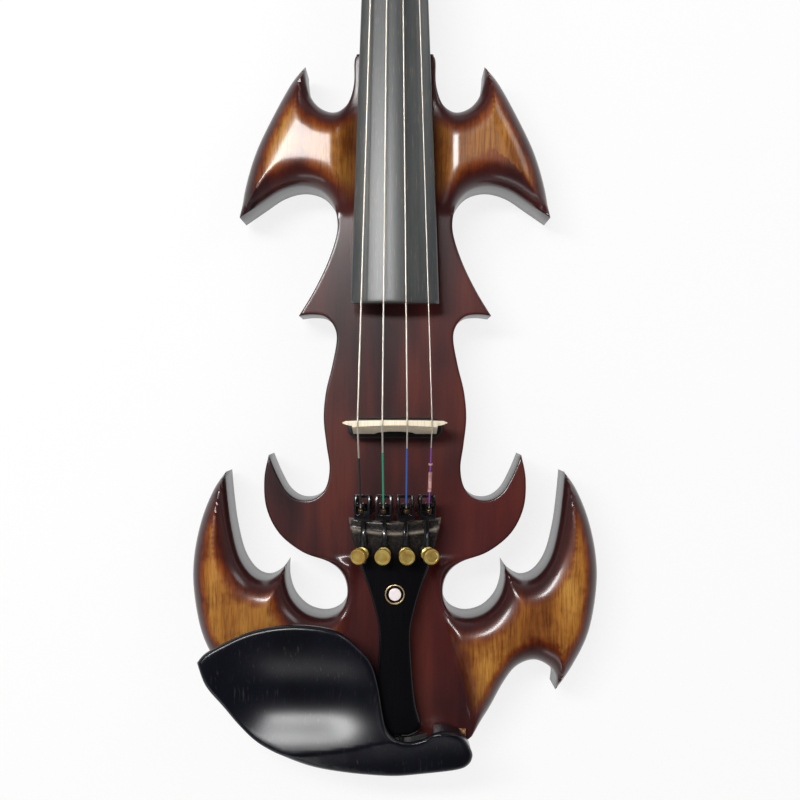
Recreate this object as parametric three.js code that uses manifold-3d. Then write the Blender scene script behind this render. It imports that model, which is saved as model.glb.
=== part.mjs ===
// Electric violin: a carved solid body with four bulging wings, a set neck, and all fittings.
// Millimetres. +Y runs from the tail to the scroll, +X is the treble side, +Z is the front.
// While building, y = 0 lies under the bridge crown and z = 0 is the table it rests on.
import * as THREE from 'three';
import { mergeVertices } from 'three/addons/utils/BufferGeometryUtils.js';
import Module from 'manifold-3d';

const wasm = await Module();
wasm.setup();

// Driving dimensions
const stringLength = 328;
const bodyLength = 340;
const bodyWidth = 200;
const bodyThickness = 32;
const bridgeToTail = 159;
const crownHeight = 33;
const boardProjection = 27;
const boardRiseAtNut = 7;
const bridgeSpread = 35;
const nutSpread = 16.5;
const arcRadius = 42;
const gap = 0.3;
const overrun = 4;

// Wings
const wingBulge = 5;
const edgeDrop = 5;
const edgeRound = 13;
const creaseWidth = 7;
const gridStep = 10;

// Fingerboard, nut and neck
const boardToBridge = 57;
const boardEndWidth = 42.5;
const boardNutWidth = 24;
const boardEdge = 5;
const nutLength = 6;
const nutRise = 1;
const neckDepthAtNut = 12;
const neckDepthAtHeel = 15;
const neckInset = 0.6;
const heelRound = 24;
const heelWidth = 30;
const heelDepth = 34;
const tenonLength = 28;
const tenonDepth = 18;

// Pegbox, pegs and scroll
const pegboxLength = 70;
const pegboxEndWidth = 19;
const pegWall = 4.6;
const scrollRadius = 17.5;
const scrollReach = 84.2;
const scrollWidth = 42;
const volutePitch = 4.2;
const pegSpacing = 14.4;
const firstPeg = 15;
const pegRadius = 3.6;
const pegTipOut = 2;
const pegCollarRadius = 6;
const pegCollarLength = 4;
const pegCollarOut = 7;
const pegHeadLength = 20;
const pegHeadWidth = 21;
const pegHeadThickness = 7;
const pegPipRadius = 2;
const windingTurns = 3;
const windingPitch = 1.5;

// Strings, in the order G, D, A, E
const stringDiameters = [0.8, 0.75, 0.7, 0.5];
const ballRadius = 1.5;

// Bridge and its pickup
const bridgeFootWidth = 40;
const bridgeCrownWidth = 50;
const bridgeCrownHeight = 19;
const bridgeFootThickness = 5.5;
const bridgeCrownThickness = 2.4;
const bridgeArchWidth = 20;
const bridgeArchHeight = 7;
const bridgeHoleRadius = 1.3;
const pickupLength = 46;
const pickupWidth = 9.8;
const pickupHeight = 8;
const pickupSetback = 3;

// Tailpiece, tailgut, saddle and endpin
const tailpieceToSaddle = 1.3;
const tailpieceLength = 106;
const tailpieceFrontHeight = 18;
const tailpieceTailHeight = 12;
const tailpieceWidth = 44.5;
const tailpieceThickness = 7;
const tailpieceArch = 3.4;
const ridgeHeight = 1.2;
const ridgeLength = 3.2;
const ridgeSetback = 5.6;
const eyeSetback = 37;
const eyeRingRadius = 4.8;
const eyeRingWall = 0.6;
const eyeDotRadius = 3;
const eyeDepth = 1.6;
const tailgutRadius = 1;
const tailgutSpread = 6;
const saddleLength = 32;
const saddleWidth = 6;
const saddleHeight = 7;
const endpinRadius = 6.5;
const endpinNeckRadius = 3.6;
const endpinShankLength = 20;
const endpinNeckLength = 5;
const endpinHeadLength = 7;

// Fine tuners
const tunerSetback = 16;
const tunerSpacing = 9.4;
const tunerLean = THREE.MathUtils.degToRad(5.5);
const tunerPitch = THREE.MathUtils.degToRad(8);
const frameWidth = 8;
const frameTail = 5.5;
const frameThickness = 1.4;
const frameRise = 1.6;
const earThickness = 1.2;
const earLength = 4.4;
const noseReach = 7;
const noseDepth = 2.4;
const spineWidth = 3.2;
const yokeLength = 2.6;
const earDrop = 3.6;
const pivotReach = 20.5;
const pivotRadius = 1.7;
const leverWidth = 4;
const leverThickness = 1.6;
const hookHeight = 6;
const hookLean = 2.6;
const hookSlot = 1.5;
const hookSlotDepth = 2.6;
const bossRadius = 3.1;
const bossHeight = 4.6;
const screwRadius = 1.4;
const screwHeadRadius = 3.8;
const screwHeadLength = 6.5;
const screwHeadRise = 6;
const tunerPocketDepth = 8;

// Chinrest and its clamp
const chinrestWidth = 132;
const chinrestDepth = 73.5;
const chinrestLeft = -94.5;
const chinrestReach = 62;
const chinrestRim = 22;
const chinrestArm = 19.5;
const cupDepth = 6;
const cupThickness = 6.4;
const cupRadiusX = 30;
const cupRadiusY = 17;
const chinrestGrid = 7;
const footInner = 18.5;
const footMargin = 0.5;
const footSetback = 3;
const corkThickness = 1.7;
const tailpieceClearance = 1.8;
const clampSpacing = 48;
const rodRadius = 1.5;
const barrelRadius = 3.2;
const barrelLength = 30;
const barrelSetback = 5.2;
const rodGrip = 7;
const bracketThickness = 1.6;
const bracketReach = 15;
const bracketWidth = 12;
const footCorkThickness = 1.2;
const wrenchHoleRadius = 0.9;

// Controls, electronics and battery
const plateLength = 86;
const plateWidth = 50;
const plateThickness = 1.5;
const plateInset = 9;
const plateCentre = -25;
const ledge = 7;
const cavityDepth = 15.5;
const knobRadius = 6.5;
const knobHeight = 7;
const knobSpacing = 18;
const potRadius = 8;
const potHeight = 7;
const potShaftRadius = 3;
const potClearance = 2;
const boardLength = 34;
const boardWidth = 24;
const boardThickness = 1.6;
const plateScrewRadius = 1.4;
const plateScrewHead = 2.8;
const plateScrewLength = 9;
const batteryLength = 48.5;
const batteryWidth = 26.5;
const batteryHeight = 17.5;
const batterySetback = 42;
const batteryPlay = 1;
const doorThickness = 1.8;
const doorLip = 3;
const doorPinRadius = 1.4;
const snapThickness = 4;
const leadRadius = 0.8;
const channelWidth = 9;
const channelDepth = 6;
const jackRadius = 5.6;
const jackBore = 3.2;
const jackLength = 24;
const jackFlange = 8;
const jackFlangeThickness = 1.6;
const jackHeight = 17;

// Levels and lines that the fittings share
const backLevel = bracketThickness + footCorkThickness + 2 * gap;
const topLevel = backLevel + bodyThickness;
const tailEdge = -bridgeToTail;
const upperEdge = tailEdge + bodyLength;
const nutFace = stringLength;
const boardEnd = boardToBridge;
const neckEnd = nutFace + nutLength;
const colours = {
  wood: 0x5a2d22,
  ebony: 0x202226,
  maple: 0xe8dcc0,
  steel: 0xb8bcc0,
  brass: 0xc8a040,
  black: 0x101012,
  pearl: 0xece0e0,
  cork: 0xa8784a,
  nickel: 0xc8c8cc,
  plastic: 0x18181a,
  green: 0x1f5a3a,
  cell: 0x30343a,
  string: 0xd8d0c4,
};

// Shared helpers
function along(y, atBridge, atNut) {
  return atBridge + (atNut - atBridge) * y / stringLength;
}

function smooth(value) {
  const t = THREE.MathUtils.clamp(value, 0, 1);
  return t * t * (3 - 2 * t);
}

function arcDrop(halfWidth) {
  return arcRadius - Math.sqrt(arcRadius * arcRadius - halfWidth * halfWidth);
}

function toSolid(geometry) {
  const bare = geometry.clone();
  bare.deleteAttribute('normal');
  bare.deleteAttribute('uv');
  const merged = mergeVertices(bare);
  const vertProperties = Float32Array.from(merged.attributes.position.array);
  const triVerts = Uint32Array.from(merged.index.array);
  return new wasm.Manifold(new wasm.Mesh({ numProp: 3, vertProperties, triVerts }));
}

function toGeometry(solid) {
  const mesh = solid.getMesh();
  const geometry = new THREE.BufferGeometry();
  geometry.setAttribute('position', new THREE.BufferAttribute(mesh.vertProperties, mesh.numProp));
  geometry.setIndex(new THREE.BufferAttribute(mesh.triVerts, 1));
  return geometry;
}

function cut(base, ...tools) {
  return toGeometry(tools.reduce((solid, tool) => solid.subtract(toSolid(tool)), toSolid(base)));
}

function join(base, ...others) {
  return toGeometry(others.reduce((solid, other) => solid.add(toSolid(other)), toSolid(base)));
}

function meet(base, other) {
  return toGeometry(toSolid(base).intersect(toSolid(other)));
}

// A box from its lowest to its highest corner
function block(x0, x1, y0, y1, z0, z1) {
  const box = new THREE.BoxGeometry(x1 - x0, y1 - y0, z1 - z0);
  return box.translate((x0 + x1) / 2, (y0 + y1) / 2, (z0 + z1) / 2);
}

// A round bar from one point to another
function bar(from, to, radius, sides = 12) {
  const start = new THREE.Vector3(...from);
  const run = new THREE.Vector3(...to).sub(start);
  const rod = new THREE.CylinderGeometry(radius, radius, run.length(), sides);
  rod.translate(0, run.length() / 2, 0);
  rod.applyQuaternion(new THREE.Quaternion().setFromUnitVectors(THREE.Object3D.DEFAULT_UP, run.normalize()));
  return rod.translate(...from);
}

// A plan outline raised from one level to another
function prism(outline, bottom, top) {
  const shape = new THREE.Shape(outline);
  const solid = new THREE.ExtrudeGeometry(shape, { depth: top - bottom, bevelEnabled: false });
  return solid.translate(0, 0, bottom);
}

// A closed skin over rings with equal counts of points, with a fan on each end
function loft(rings) {
  const count = rings[0].length;
  const places = rings.flat().flatMap((point) => [point.x, point.y, point.z]);
  const faces = [];
  for (let ring = 0; ring < rings.length - 1; ring += 1) {
    for (let step = 0; step < count; step += 1) {
      const a = ring * count + step;
      const b = ring * count + (step + 1) % count;
      faces.push([a, b, b + count], [a, b + count, a + count]);
    }
  }
  const last = (rings.length - 1) * count;
  for (let step = 1; step < count - 1; step += 1) {
    faces.push([0, step + 1, step], [last, last + step, last + step + 1]);
  }
  const corner = (index) => new THREE.Vector3().fromArray(places, index * 3);
  const volume = faces.reduce((sum, face) => {
    const [a, b, c] = face.map(corner);
    return sum + a.dot(b.cross(c));
  }, 0);
  const geometry = new THREE.BufferGeometry();
  geometry.setAttribute('position', new THREE.Float32BufferAttribute(places, 3));
  geometry.setIndex(faces.flatMap((face) => (volume < 0 ? [...face].reverse() : face)));
  return geometry;
}

// A slab over a plan grid whose top and bottom follow two height functions
function reliefSlab(box, step, topAt, bottomAt) {
  const columns = Math.max(2, Math.round((box.x1 - box.x0) / step));
  const rows = Math.max(2, Math.round((box.y1 - box.y0) / step));
  const places = [];
  const faces = [];
  const stride = (columns + 1) * (rows + 1);
  for (const heightAt of [topAt, bottomAt]) {
    for (let row = 0; row <= rows; row += 1) {
      for (let column = 0; column <= columns; column += 1) {
        const x = THREE.MathUtils.lerp(box.x0, box.x1, column / columns);
        const y = THREE.MathUtils.lerp(box.y0, box.y1, row / rows);
        places.push(x, y, heightAt(x, y));
      }
    }
  }
  for (let row = 0; row < rows; row += 1) {
    for (let column = 0; column < columns; column += 1) {
      const a = row * (columns + 1) + column;
      const b = a + 1;
      const c = a + columns + 1;
      const d = c + 1;
      faces.push(a, b, d, a, d, c);
      faces.push(a + stride, d + stride, b + stride, a + stride, c + stride, d + stride);
    }
  }
  const across = Array.from({ length: columns }, (_, column) => column);
  const up = Array.from({ length: rows }, (_, row) => row * (columns + 1) + columns);
  const backAcross = Array.from({ length: columns }, (_, column) => rows * (columns + 1) + columns - column);
  const down = Array.from({ length: rows }, (_, row) => (rows - row) * (columns + 1));
  const rim = [...across, ...up, ...backAcross, ...down];
  rim.forEach((a, index) => {
    const b = rim[(index + 1) % rim.length];
    faces.push(a, a + stride, b + stride, a, b + stride, b);
  });
  const geometry = new THREE.BufferGeometry();
  geometry.setAttribute('position', new THREE.Float32BufferAttribute(places, 3));
  geometry.setIndex(faces);
  return geometry;
}

// A path with one tube ring at each of its stations
class StationPath extends THREE.Curve {
  constructor(stations) {
    super();
    this.stations = stations.map((place) => new THREE.Vector3(...place));
  }

  getUtoTmapping(share) {
    return share;
  }

  getPoint(share) {
    const reach = share * (this.stations.length - 1);
    const index = Math.min(Math.floor(reach), this.stations.length - 2);
    return this.stations[index].clone().lerp(this.stations[index + 1], reach - index);
  }
}

function wire(stations, radius, sides = 6) {
  const circle = new THREE.Shape().absarc(0, 0, radius, 0, Math.PI * 2);
  const section = new THREE.Shape(circle.getSpacedPoints(sides).slice(0, sides));
  const extrudePath = new StationPath(stations);
  return new THREE.ExtrudeGeometry(section, { steps: stations.length - 1, extrudePath, bevelEnabled: false });
}

const violin = new THREE.Group();

function piece(name, geometry, colour, roughness = 0.5, metalness = 0, parent = violin) {
  const material = new THREE.MeshStandardMaterial({ color: colour, roughness, metalness });
  const mesh = new THREE.Mesh(geometry, material);
  mesh.name = name;
  parent.add(mesh);
  return mesh;
}

// Body outline: runs of the treble half between its corners, from the neck block to the tail.
// Each point is a share of half the width and of the length, counted from the upper edge.
const blockRunShares = [[0, 0], [0.17, 0], [0.19, 0.003], [0.2, 0.012], [0.202, 0.043], [0.227, 0.068],
  [0.271, 0.08], [0.32, 0.082], [0.374, 0.075], [0.414, 0.061], [0.433, 0.043], [0.441, 0.026],
  [0.443, 0.016]];
const upperWingShares = [[0.443, 0.016], [0.517, 0.043], [0.616, 0.096], [0.69, 0.143], [0.739, 0.192],
  [0.764, 0.237]];
const waistShares = [[0.764, 0.237], [0.665, 0.217], [0.567, 0.198], [0.468, 0.19], [0.379, 0.195],
  [0.32, 0.21], [0.288, 0.232], [0.286, 0.26], [0.33, 0.301], [0.399, 0.343], [0.473, 0.379]];
const flankShares = [[0.473, 0.379], [0.409, 0.377], [0.345, 0.38], [0.3, 0.394], [0.287, 0.414],
  [0.31, 0.452], [0.34, 0.489], [0.351, 0.527], [0.337, 0.566], [0.322, 0.599], [0.34, 0.627], [0.394, 0.643],
  [0.468, 0.645], [0.532, 0.633], [0.581, 0.608], [0.621, 0.58]];
const innerHornShares = [[0.621, 0.58], [0.643, 0.614], [0.633, 0.656], [0.571, 0.693], [0.458, 0.72],
  [0.33, 0.735], [0.259, 0.754], [0.236, 0.78], [0.266, 0.805], [0.345, 0.816], [0.438, 0.81], [0.507, 0.79],
  [0.537, 0.764], [0.537, 0.738]];
const valleyShares = [[0.537, 0.738], [0.576, 0.753], [0.64, 0.762], [0.709, 0.754], [0.768, 0.728],
  [0.805, 0.686], [0.825, 0.643], [0.837, 0.605]];
const lowerWingShares = [[0.837, 0.605], [0.897, 0.631], [0.956, 0.674], [0.993, 0.726], [0.995, 0.776],
  [0.956, 0.838], [0.877, 0.886], [0.793, 0.922]];
const hookShares = [[0.793, 0.922], [0.796, 0.903], [0.759, 0.887], [0.685, 0.878], [0.601, 0.887],
  [0.537, 0.91], [0.463, 0.949], [0.379, 0.987]];
const tailShares = [[0.379, 0.987], [0.33, 0.995], [0.172, 1], [0, 1]];
const outlineRunShares = [blockRunShares, upperWingShares, waistShares, flankShares, innerHornShares,
  valleyShares, lowerWingShares, hookShares, tailShares];
const stepsPerSpan = 2;

function outlinePoint([across, down]) {
  return new THREE.Vector2(across * bodyWidth / 2, upperEdge - down * bodyLength);
}

function bodyOutline() {
  const half = [];
  for (const run of outlineRunShares) {
    const curve = new THREE.SplineCurve(run.map(outlinePoint));
    const count = (run.length - 1) * stepsPerSpan;
    half.push(...curve.getPoints(count).slice(0, -1));
  }
  half.push(new THREE.Vector2(0, tailEdge));
  const mirrored = half.slice(1, -1).reverse().map((point) => new THREE.Vector2(-point.x, point.y));
  return [...half, ...mirrored].reverse();
}

const outline = bodyOutline();

function edgeDistance(x, y) {
  let least = Infinity;
  outline.forEach((start, index) => {
    const end = outline[(index + 1) % outline.length];
    const dx = end.x - start.x;
    const dy = end.y - start.y;
    const passed = ((x - start.x) * dx + (y - start.y) * dy) / (dx * dx + dy * dy);
    const share = THREE.MathUtils.clamp(passed, 0, 1);
    least = Math.min(least, Math.hypot(x - start.x - share * dx, y - start.y - share * dy));
  });
  return least;
}

// Where the wings begin: beside the neck block above, and past a slanting crease below
const upperCreaseShare = 0.22;
const upperFloorShare = 0.215;
const lowerCreaseTopShare = 0.17;
const lowerCreaseTailShare = 0.37;
const lowerStartShare = 0.725;
const hornTopShare = 0.55;
const hornInnerShare = 0.66;

function wingShare(x, y) {
  const across = Math.abs(x);
  const down = (upperEdge - y) / bodyLength;
  const side = smooth((across - upperCreaseShare * bodyWidth / 2) / creaseWidth);
  const above = smooth((upperFloorShare * bodyLength - (upperEdge - y)) / creaseWidth + 1);
  const fall = smooth((down - lowerStartShare) / (1 - lowerStartShare));
  const crease = THREE.MathUtils.lerp(lowerCreaseTopShare, lowerCreaseTailShare, fall) * bodyWidth / 2;
  const lower = smooth((across - crease) / creaseWidth);
  const below = smooth((down - lowerStartShare) * bodyLength / creaseWidth);
  const horn = down > hornTopShare ? smooth((across - hornInnerShare * bodyWidth / 2) / creaseWidth) : 0;
  return Math.max(side * above, lower * below, horn);
}

function bodyTop(x, y) {
  const reach = Math.min(edgeDistance(x, y) / edgeRound, 1);
  const dome = Math.sqrt(1 - (1 - reach) * (1 - reach));
  return topLevel + wingShare(x, y) * ((edgeDrop + wingBulge) * dome - edgeDrop);
}

// Body: the carved relief inside the outline, with the mortise, pockets and bores cut from it
const recessDepth = plateInset + plateThickness;
const cavityTop = backLevel + recessDepth + cavityDepth;
const plateTail = plateCentre - plateLength / 2;
const plateHead = plateCentre + plateLength / 2;
const cavityTail = plateTail + ledge;
const cavityHead = plateHead - ledge;
const cavityHalf = plateWidth / 2 - ledge;
const batteryCentre = tailEdge + batterySetback;
const batteryHalfX = batteryLength / 2 + batteryPlay + snapThickness;
const batteryHalfY = batteryWidth / 2 + batteryPlay + gap + leadRadius / 2;
const batteryTop = backLevel + doorThickness + batteryHeight + 3 * gap + batteryPlay;
const mortiseHalf = heelWidth / 2 - neckInset;
const jackY = plateHead - ledge - jackFlange;

function jackWallX() {
  const wall = outline.filter((point) => point.x > 0 && Math.abs(point.y - jackY) < jackFlange * 1.5);
  return Math.min(...wall.map((point) => point.x));
}

const jackSeat = jackWallX() - jackFlangeThickness;

function makeBody() {
  const half = bodyWidth / 2 + overrun;
  const box = { x0: -half, x1: half, y0: tailEdge - overrun, y1: upperEdge + overrun };
  const relief = reliefSlab(box, gridStep, bodyTop, () => backLevel);
  const carved = meet(relief, prism(outline, backLevel - overrun, topLevel + wingBulge + overrun));
  const mortise = block(-mortiseHalf - gap, mortiseHalf + gap, upperEdge - tenonLength - gap, upperEdge + overrun,
    topLevel - tenonDepth - gap, topLevel + overrun);
  const recess = block(-plateWidth / 2 - gap, plateWidth / 2 + gap, plateTail - gap, plateHead + gap,
    backLevel - overrun, backLevel + recessDepth);
  const cavity = block(-cavityHalf, cavityHalf, cavityTail, cavityHead, backLevel, cavityTop);
  const doorHalf = batteryHalfX + doorLip;
  const doorSeat = block(-doorHalf - gap, doorHalf + gap, batteryCentre - batteryHalfY - doorLip - gap,
    batteryCentre + batteryHalfY + doorLip + gap, backLevel - overrun, backLevel + doorThickness + gap);
  const pocket = block(-batteryHalfX, batteryHalfX, batteryCentre - batteryHalfY, batteryCentre + batteryHalfY,
    backLevel, batteryTop);
  const channel = block(-channelWidth / 2, channelWidth / 2, batteryCentre, cavityTail + overrun,
    batteryTop - channelDepth, batteryTop);
  const pinY = batteryCentre + batteryHalfY + doorLip;
  const pinSeat = bar([-doorHalf - gap, pinY, backLevel + doorPinRadius], [doorHalf + gap, pinY,
    backLevel + doorPinRadius], doorPinRadius + 2 * gap, 12);
  const leadHole = bar([0, -pickupSetback, cavityTop - overrun], [0, -pickupSetback, topLevel + overrun],
    leadRadius + 2 * gap, 12);
  const jackHole = bar([0, jackY, backLevel + jackHeight], [bodyWidth / 2, jackY, backLevel + jackHeight],
    jackRadius + gap, 16);
  const jackDish = bar([jackSeat - gap, jackY, backLevel + jackHeight], [bodyWidth / 2, jackY,
    backLevel + jackHeight], jackFlange + 2 * gap, 20);
  const endpinHole = bar([0, tailEdge - overrun, backLevel + bodyThickness / 2],
    [0, tailEdge + endpinShankLength + gap, backLevel + bodyThickness / 2], endpinNeckRadius + gap, 12);
  const saddleSeat = block(-saddleLength / 2 - gap, saddleLength / 2 + gap, tailEdge - overrun,
    tailEdge + saddleWidth + gap, topLevel - saddleWidth / 2, topLevel + overrun);
  const screwHoles = plateScrewPlaces().map(([x, y]) => bar([x, y, backLevel], [x, y,
    backLevel + plateInset + plateScrewLength + gap], plateScrewRadius + gap, 8));
  return cut(carved, mortise, recess, cavity, doorSeat, pocket, channel, pinSeat, leadHole, jackHole, jackDish,
    endpinHole, saddleSeat, ...screwHoles);
}

function plateScrewPlaces() {
  return [[0, plateTail + ledge / 2], [0, plateHead - ledge / 2]];
}

piece('body', makeBody(), colours.wood, 0.3);

// Levels of the board and the neck along their length
function boardTop(y) {
  return topLevel + along(y, boardProjection, boardRiseAtNut);
}

function boardHalf(y) {
  const share = (y - boardEnd) / (nutFace - boardEnd);
  return THREE.MathUtils.lerp(boardEndWidth, boardNutWidth, share) / 2;
}

function boardBottom(y) {
  const atEnd = boardTop(boardEnd) - arcDrop(boardHalf(boardEnd)) - boardEdge;
  const atNut = boardTop(nutFace) - arcDrop(boardHalf(nutFace)) - boardEdge;
  return THREE.MathUtils.lerp(atEnd, atNut, (y - boardEnd) / (nutFace - boardEnd));
}

// Points of an arched top from -half to +half, at one place along the instrument
function archTop(y, half, centre, steps) {
  const points = [];
  for (let step = 0; step <= steps; step += 1) {
    const x = half * (2 * step / steps - 1);
    points.push(new THREE.Vector3(x, y, centre - arcDrop(x)));
  }
  return points;
}

// Fingerboard: arched across, thinning towards the nut
const boardSteps = 8;

function makeFingerboard() {
  const rings = [boardEnd, nutFace - gap].map((y) => {
    const half = boardHalf(y);
    const floor = boardBottom(y);
    return [...archTop(y, half, boardTop(y), boardSteps), new THREE.Vector3(half, y, floor),
      new THREE.Vector3(-half, y, floor)];
  });
  return loft(rings);
}

piece('fingerboard', makeFingerboard(), colours.ebony, 0.45);

// Nut: the arched block at the end of the board that spaces the strings
function makeNut() {
  const half = boardNutWidth / 2;
  const rings = [nutFace, neckEnd].map((y, index) => {
    const centre = boardTop(y) + nutRise * (1 - index / 2);
    const floor = boardBottom(nutFace);
    return [...archTop(y, half, centre, boardSteps), new THREE.Vector3(half, y, floor),
      new THREE.Vector3(-half, y, floor)];
  });
  return loft(rings);
}

piece('nut', makeNut(), colours.black, 0.35);

// Neck: tenon and heel in the body, a rounded shaft, then the pegbox and the scroll
const neckSides = 10;
const scrollCentre = new THREE.Vector3(0, neckEnd - nutLength + scrollReach, scrollRadius);
const heelEnd = upperEdge + gap;

function neckRing(y, half, depth, fullness) {
  const top = boardBottom(Math.min(y, neckEnd)) - gap;
  const ring = [];
  for (let step = 0; step <= neckSides; step += 1) {
    const angle = Math.PI * step / neckSides;
    const across = Math.cos(angle);
    const down = Math.pow(Math.sin(angle), fullness);
    ring.push(new THREE.Vector3(half * across, y, top - depth * down));
  }
  return ring;
}

const shaftStationShares = [0.3, 0.55, 0.8, 1];
const heelStationShares = [0, 0.2, 0.45, 0.7, 1];
const heelFullness = 0.45;
const shaftFullness = 0.8;

function makeShaft() {
  const rings = [];
  for (const share of heelStationShares) {
    const y = heelEnd + share * heelRound;
    const rise = Math.sqrt(1 - (1 - share) * (1 - share));
    const depth = THREE.MathUtils.lerp(heelDepth, neckDepthAtHeel, rise);
    const half = THREE.MathUtils.lerp(heelWidth / 2, boardHalf(y) - neckInset, rise);
    rings.push(neckRing(y, half, depth, THREE.MathUtils.lerp(heelFullness, shaftFullness, rise)));
  }
  const shaftStart = heelEnd + heelRound;
  for (const share of shaftStationShares) {
    const y = THREE.MathUtils.lerp(shaftStart, neckEnd, share);
    const depth = THREE.MathUtils.lerp(neckDepthAtHeel, neckDepthAtNut, share);
    rings.push(neckRing(y, boardHalf(y) - neckInset, depth, shaftFullness));
  }
  return loft(rings);
}

// Side of the pegbox as shares of its length along and of the scroll's depth down, front then back
const pegboxFrontShares = [[-0.06, 0.01], [0.006, 0.01], [0.012, -0.02], [0.35, 0.03], [0.7, 0.12],
  [0.95, 0.2], [1.05, 0.3]];
const pegboxBackShares = [[1.15, 0.985], [0.95, 0.94], [0.7, 0.84], [0.4, 0.67], [0.15, 0.5], [0, 0.36],
  [-0.06, 0.34]];
const pegboxFloorShares = [[0.97, 0.74], [0.7, 0.64], [0.35, 0.48], [0.012, 0.28]];
const pegboxTop = boardBottom(neckEnd) - gap;
const firstPegShare = 0.2;
const pegFallShare = 0.11;

function pegboxHalf(y) {
  const share = (y - neckEnd) / pegboxLength;
  return THREE.MathUtils.lerp(boardNutWidth, pegboxEndWidth, share) / 2;
}

function pegboxPoint([forward, down]) {
  return new THREE.Vector2(neckEnd + forward * pegboxLength, pegboxTop * (1 - down));
}

// A side view in Y and Z, thickened along X, narrowing with the pegbox
function sideSolid(points, halfAt) {
  const shape = new THREE.Shape(points);
  const solid = new THREE.ExtrudeGeometry(shape, { depth: 1, bevelEnabled: false });
  const place = solid.attributes.position;
  for (let index = 0; index < place.count; index += 1) {
    const y = place.getX(index);
    const z = place.getY(index);
    const side = place.getZ(index) * 2 - 1;
    place.setXYZ(index, side * halfAt(y, z), y, z);
  }
  return solid;
}

const voluteSteps = 18;
const voluteTurns = 3;
const voluteStartShare = 0.62;
const volutePlainShare = 0.25;

// One turn of the volute: a snail-shaped disc, wider across the nearer it lies to the eye
function voluteTurn(turn) {
  const points = [];
  for (let step = 0; step < voluteSteps; step += 1) {
    const angle = -Math.PI / 2 + 2 * Math.PI * step / voluteSteps;
    const wound = Math.max(0, step / voluteSteps - volutePlainShare) / (1 - volutePlainShare);
    const radius = scrollRadius - volutePitch * (turn + wound);
    const across = scrollCentre.y + radius * Math.cos(angle);
    points.push(new THREE.Vector2(across, scrollCentre.z + radius * Math.sin(angle)));
  }
  const half = THREE.MathUtils.lerp(voluteStartShare, 1, turn / (voluteTurns - 1)) * scrollWidth / 2;
  return sideSolid(points, () => half);
}

function pegPlaces() {
  return ['g', 'e', 'd', 'a'].map((string, index) => {
    const y = neckEnd + firstPeg + index * pegSpacing;
    const down = firstPegShare + pegFallShare * index;
    return { string, y, z: pegboxTop * (1 - down), side: index % 2 === 0 ? -1 : 1 };
  });
}

function makeNeck() {
  const tenonTop = (y) => boardBottom(y) - gap;
  const tenonEnd = upperEdge - tenonLength;
  const floor = topLevel - tenonDepth;
  const tenon = sideSolid([[tenonEnd, floor], [heelEnd + gap, floor], [heelEnd + gap, tenonTop(heelEnd)],
    [tenonEnd, tenonTop(tenonEnd)]].map(([y, z]) => new THREE.Vector2(y, z)), () => mortiseHalf);
  const wall = sideSolid([...pegboxFrontShares, ...pegboxBackShares].map(pegboxPoint), pegboxHalf);
  const mouth = [pegboxFloorShares.at(-1), pegboxFloorShares[0]].map(([forward]) => {
    const edge = pegboxPoint([forward, 0]);
    return edge.setY(edge.y + overrun);
  });
  const hollow = sideSolid([...mouth, ...pegboxFloorShares.map(pegboxPoint)], (y) => pegboxHalf(y) - pegWall);
  const volutes = [];
  for (let turn = 0; turn < voluteTurns; turn += 1) {
    volutes.push(voluteTurn(turn));
  }
  const whole = join(makeShaft(), tenon, wall, ...volutes);
  const reach = boardNutWidth;
  const pegHoles = pegPlaces().map(({ y, z }) => bar([-reach, y, z], [reach, y, z], pegRadius + gap, 12));
  return cut(whole, hollow, ...pegHoles);
}

piece('neck', makeNeck(), colours.maple, 0.4);

// A turned solid about the Y axis, from pairs of radius and height in either order
function turned(profile, sides) {
  const points = profile.map(([radius, height]) => new THREE.Vector2(radius, height));
  return new THREE.LatheGeometry(THREE.ShapeUtils.area(points) < 0 ? points.reverse() : points, sides);
}

// A front view in X and Z, thickened along Y between two faces
function frontSolid(points, backAt, frontAt, holes = []) {
  const shape = new THREE.Shape(points);
  shape.holes.push(...holes);
  const solid = new THREE.ExtrudeGeometry(shape, { depth: 1, bevelEnabled: false, curveSegments: 6 });
  const place = solid.attributes.position;
  for (let index = 0; index < place.count; index += 1) {
    const x = place.getX(index);
    const z = place.getY(index);
    place.setXYZ(index, x, THREE.MathUtils.lerp(backAt(z), frontAt(z), place.getZ(index)), z);
  }
  const faces = mergeVertices(stripped(solid));
  const order = Array.from(faces.index.array);
  for (let index = 0; index < order.length; index += 3) {
    [order[index], order[index + 1]] = [order[index + 1], order[index]];
  }
  faces.setIndex(order);
  return faces;
}

function stripped(geometry) {
  geometry.deleteAttribute('normal');
  geometry.deleteAttribute('uv');
  return geometry;
}

// Bridge pickup: a black bar with round ends on the body, which the bridge stands on
const pickupTop = topLevel + gap + pickupHeight;

function makePickup() {
  const reach = (pickupLength - pickupWidth) / 2;
  const plan = new THREE.Path();
  plan.absarc(reach, -pickupSetback, pickupWidth / 2, -Math.PI / 2, Math.PI / 2);
  plan.absarc(-reach, -pickupSetback, pickupWidth / 2, Math.PI / 2, Math.PI * 3 / 2);
  return prism(plan.getPoints(8), topLevel + gap, pickupTop);
}

piece('bridge_pickup', makePickup(), colours.black, 0.3);

// Bridge: boat-shaped maple, wide at the crown, with an arch between its feet and a row of holes
const stringSeat = Math.max(...stringDiameters) / 2 + gap;
const crownLevel = topLevel + crownHeight - stringSeat;
const bridgeFloor = pickupTop + gap;
const crownSteps = 10;
const bridgeHoleShares = [-0.42, -0.12, 0.17, 0.45, 0.66];

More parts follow.
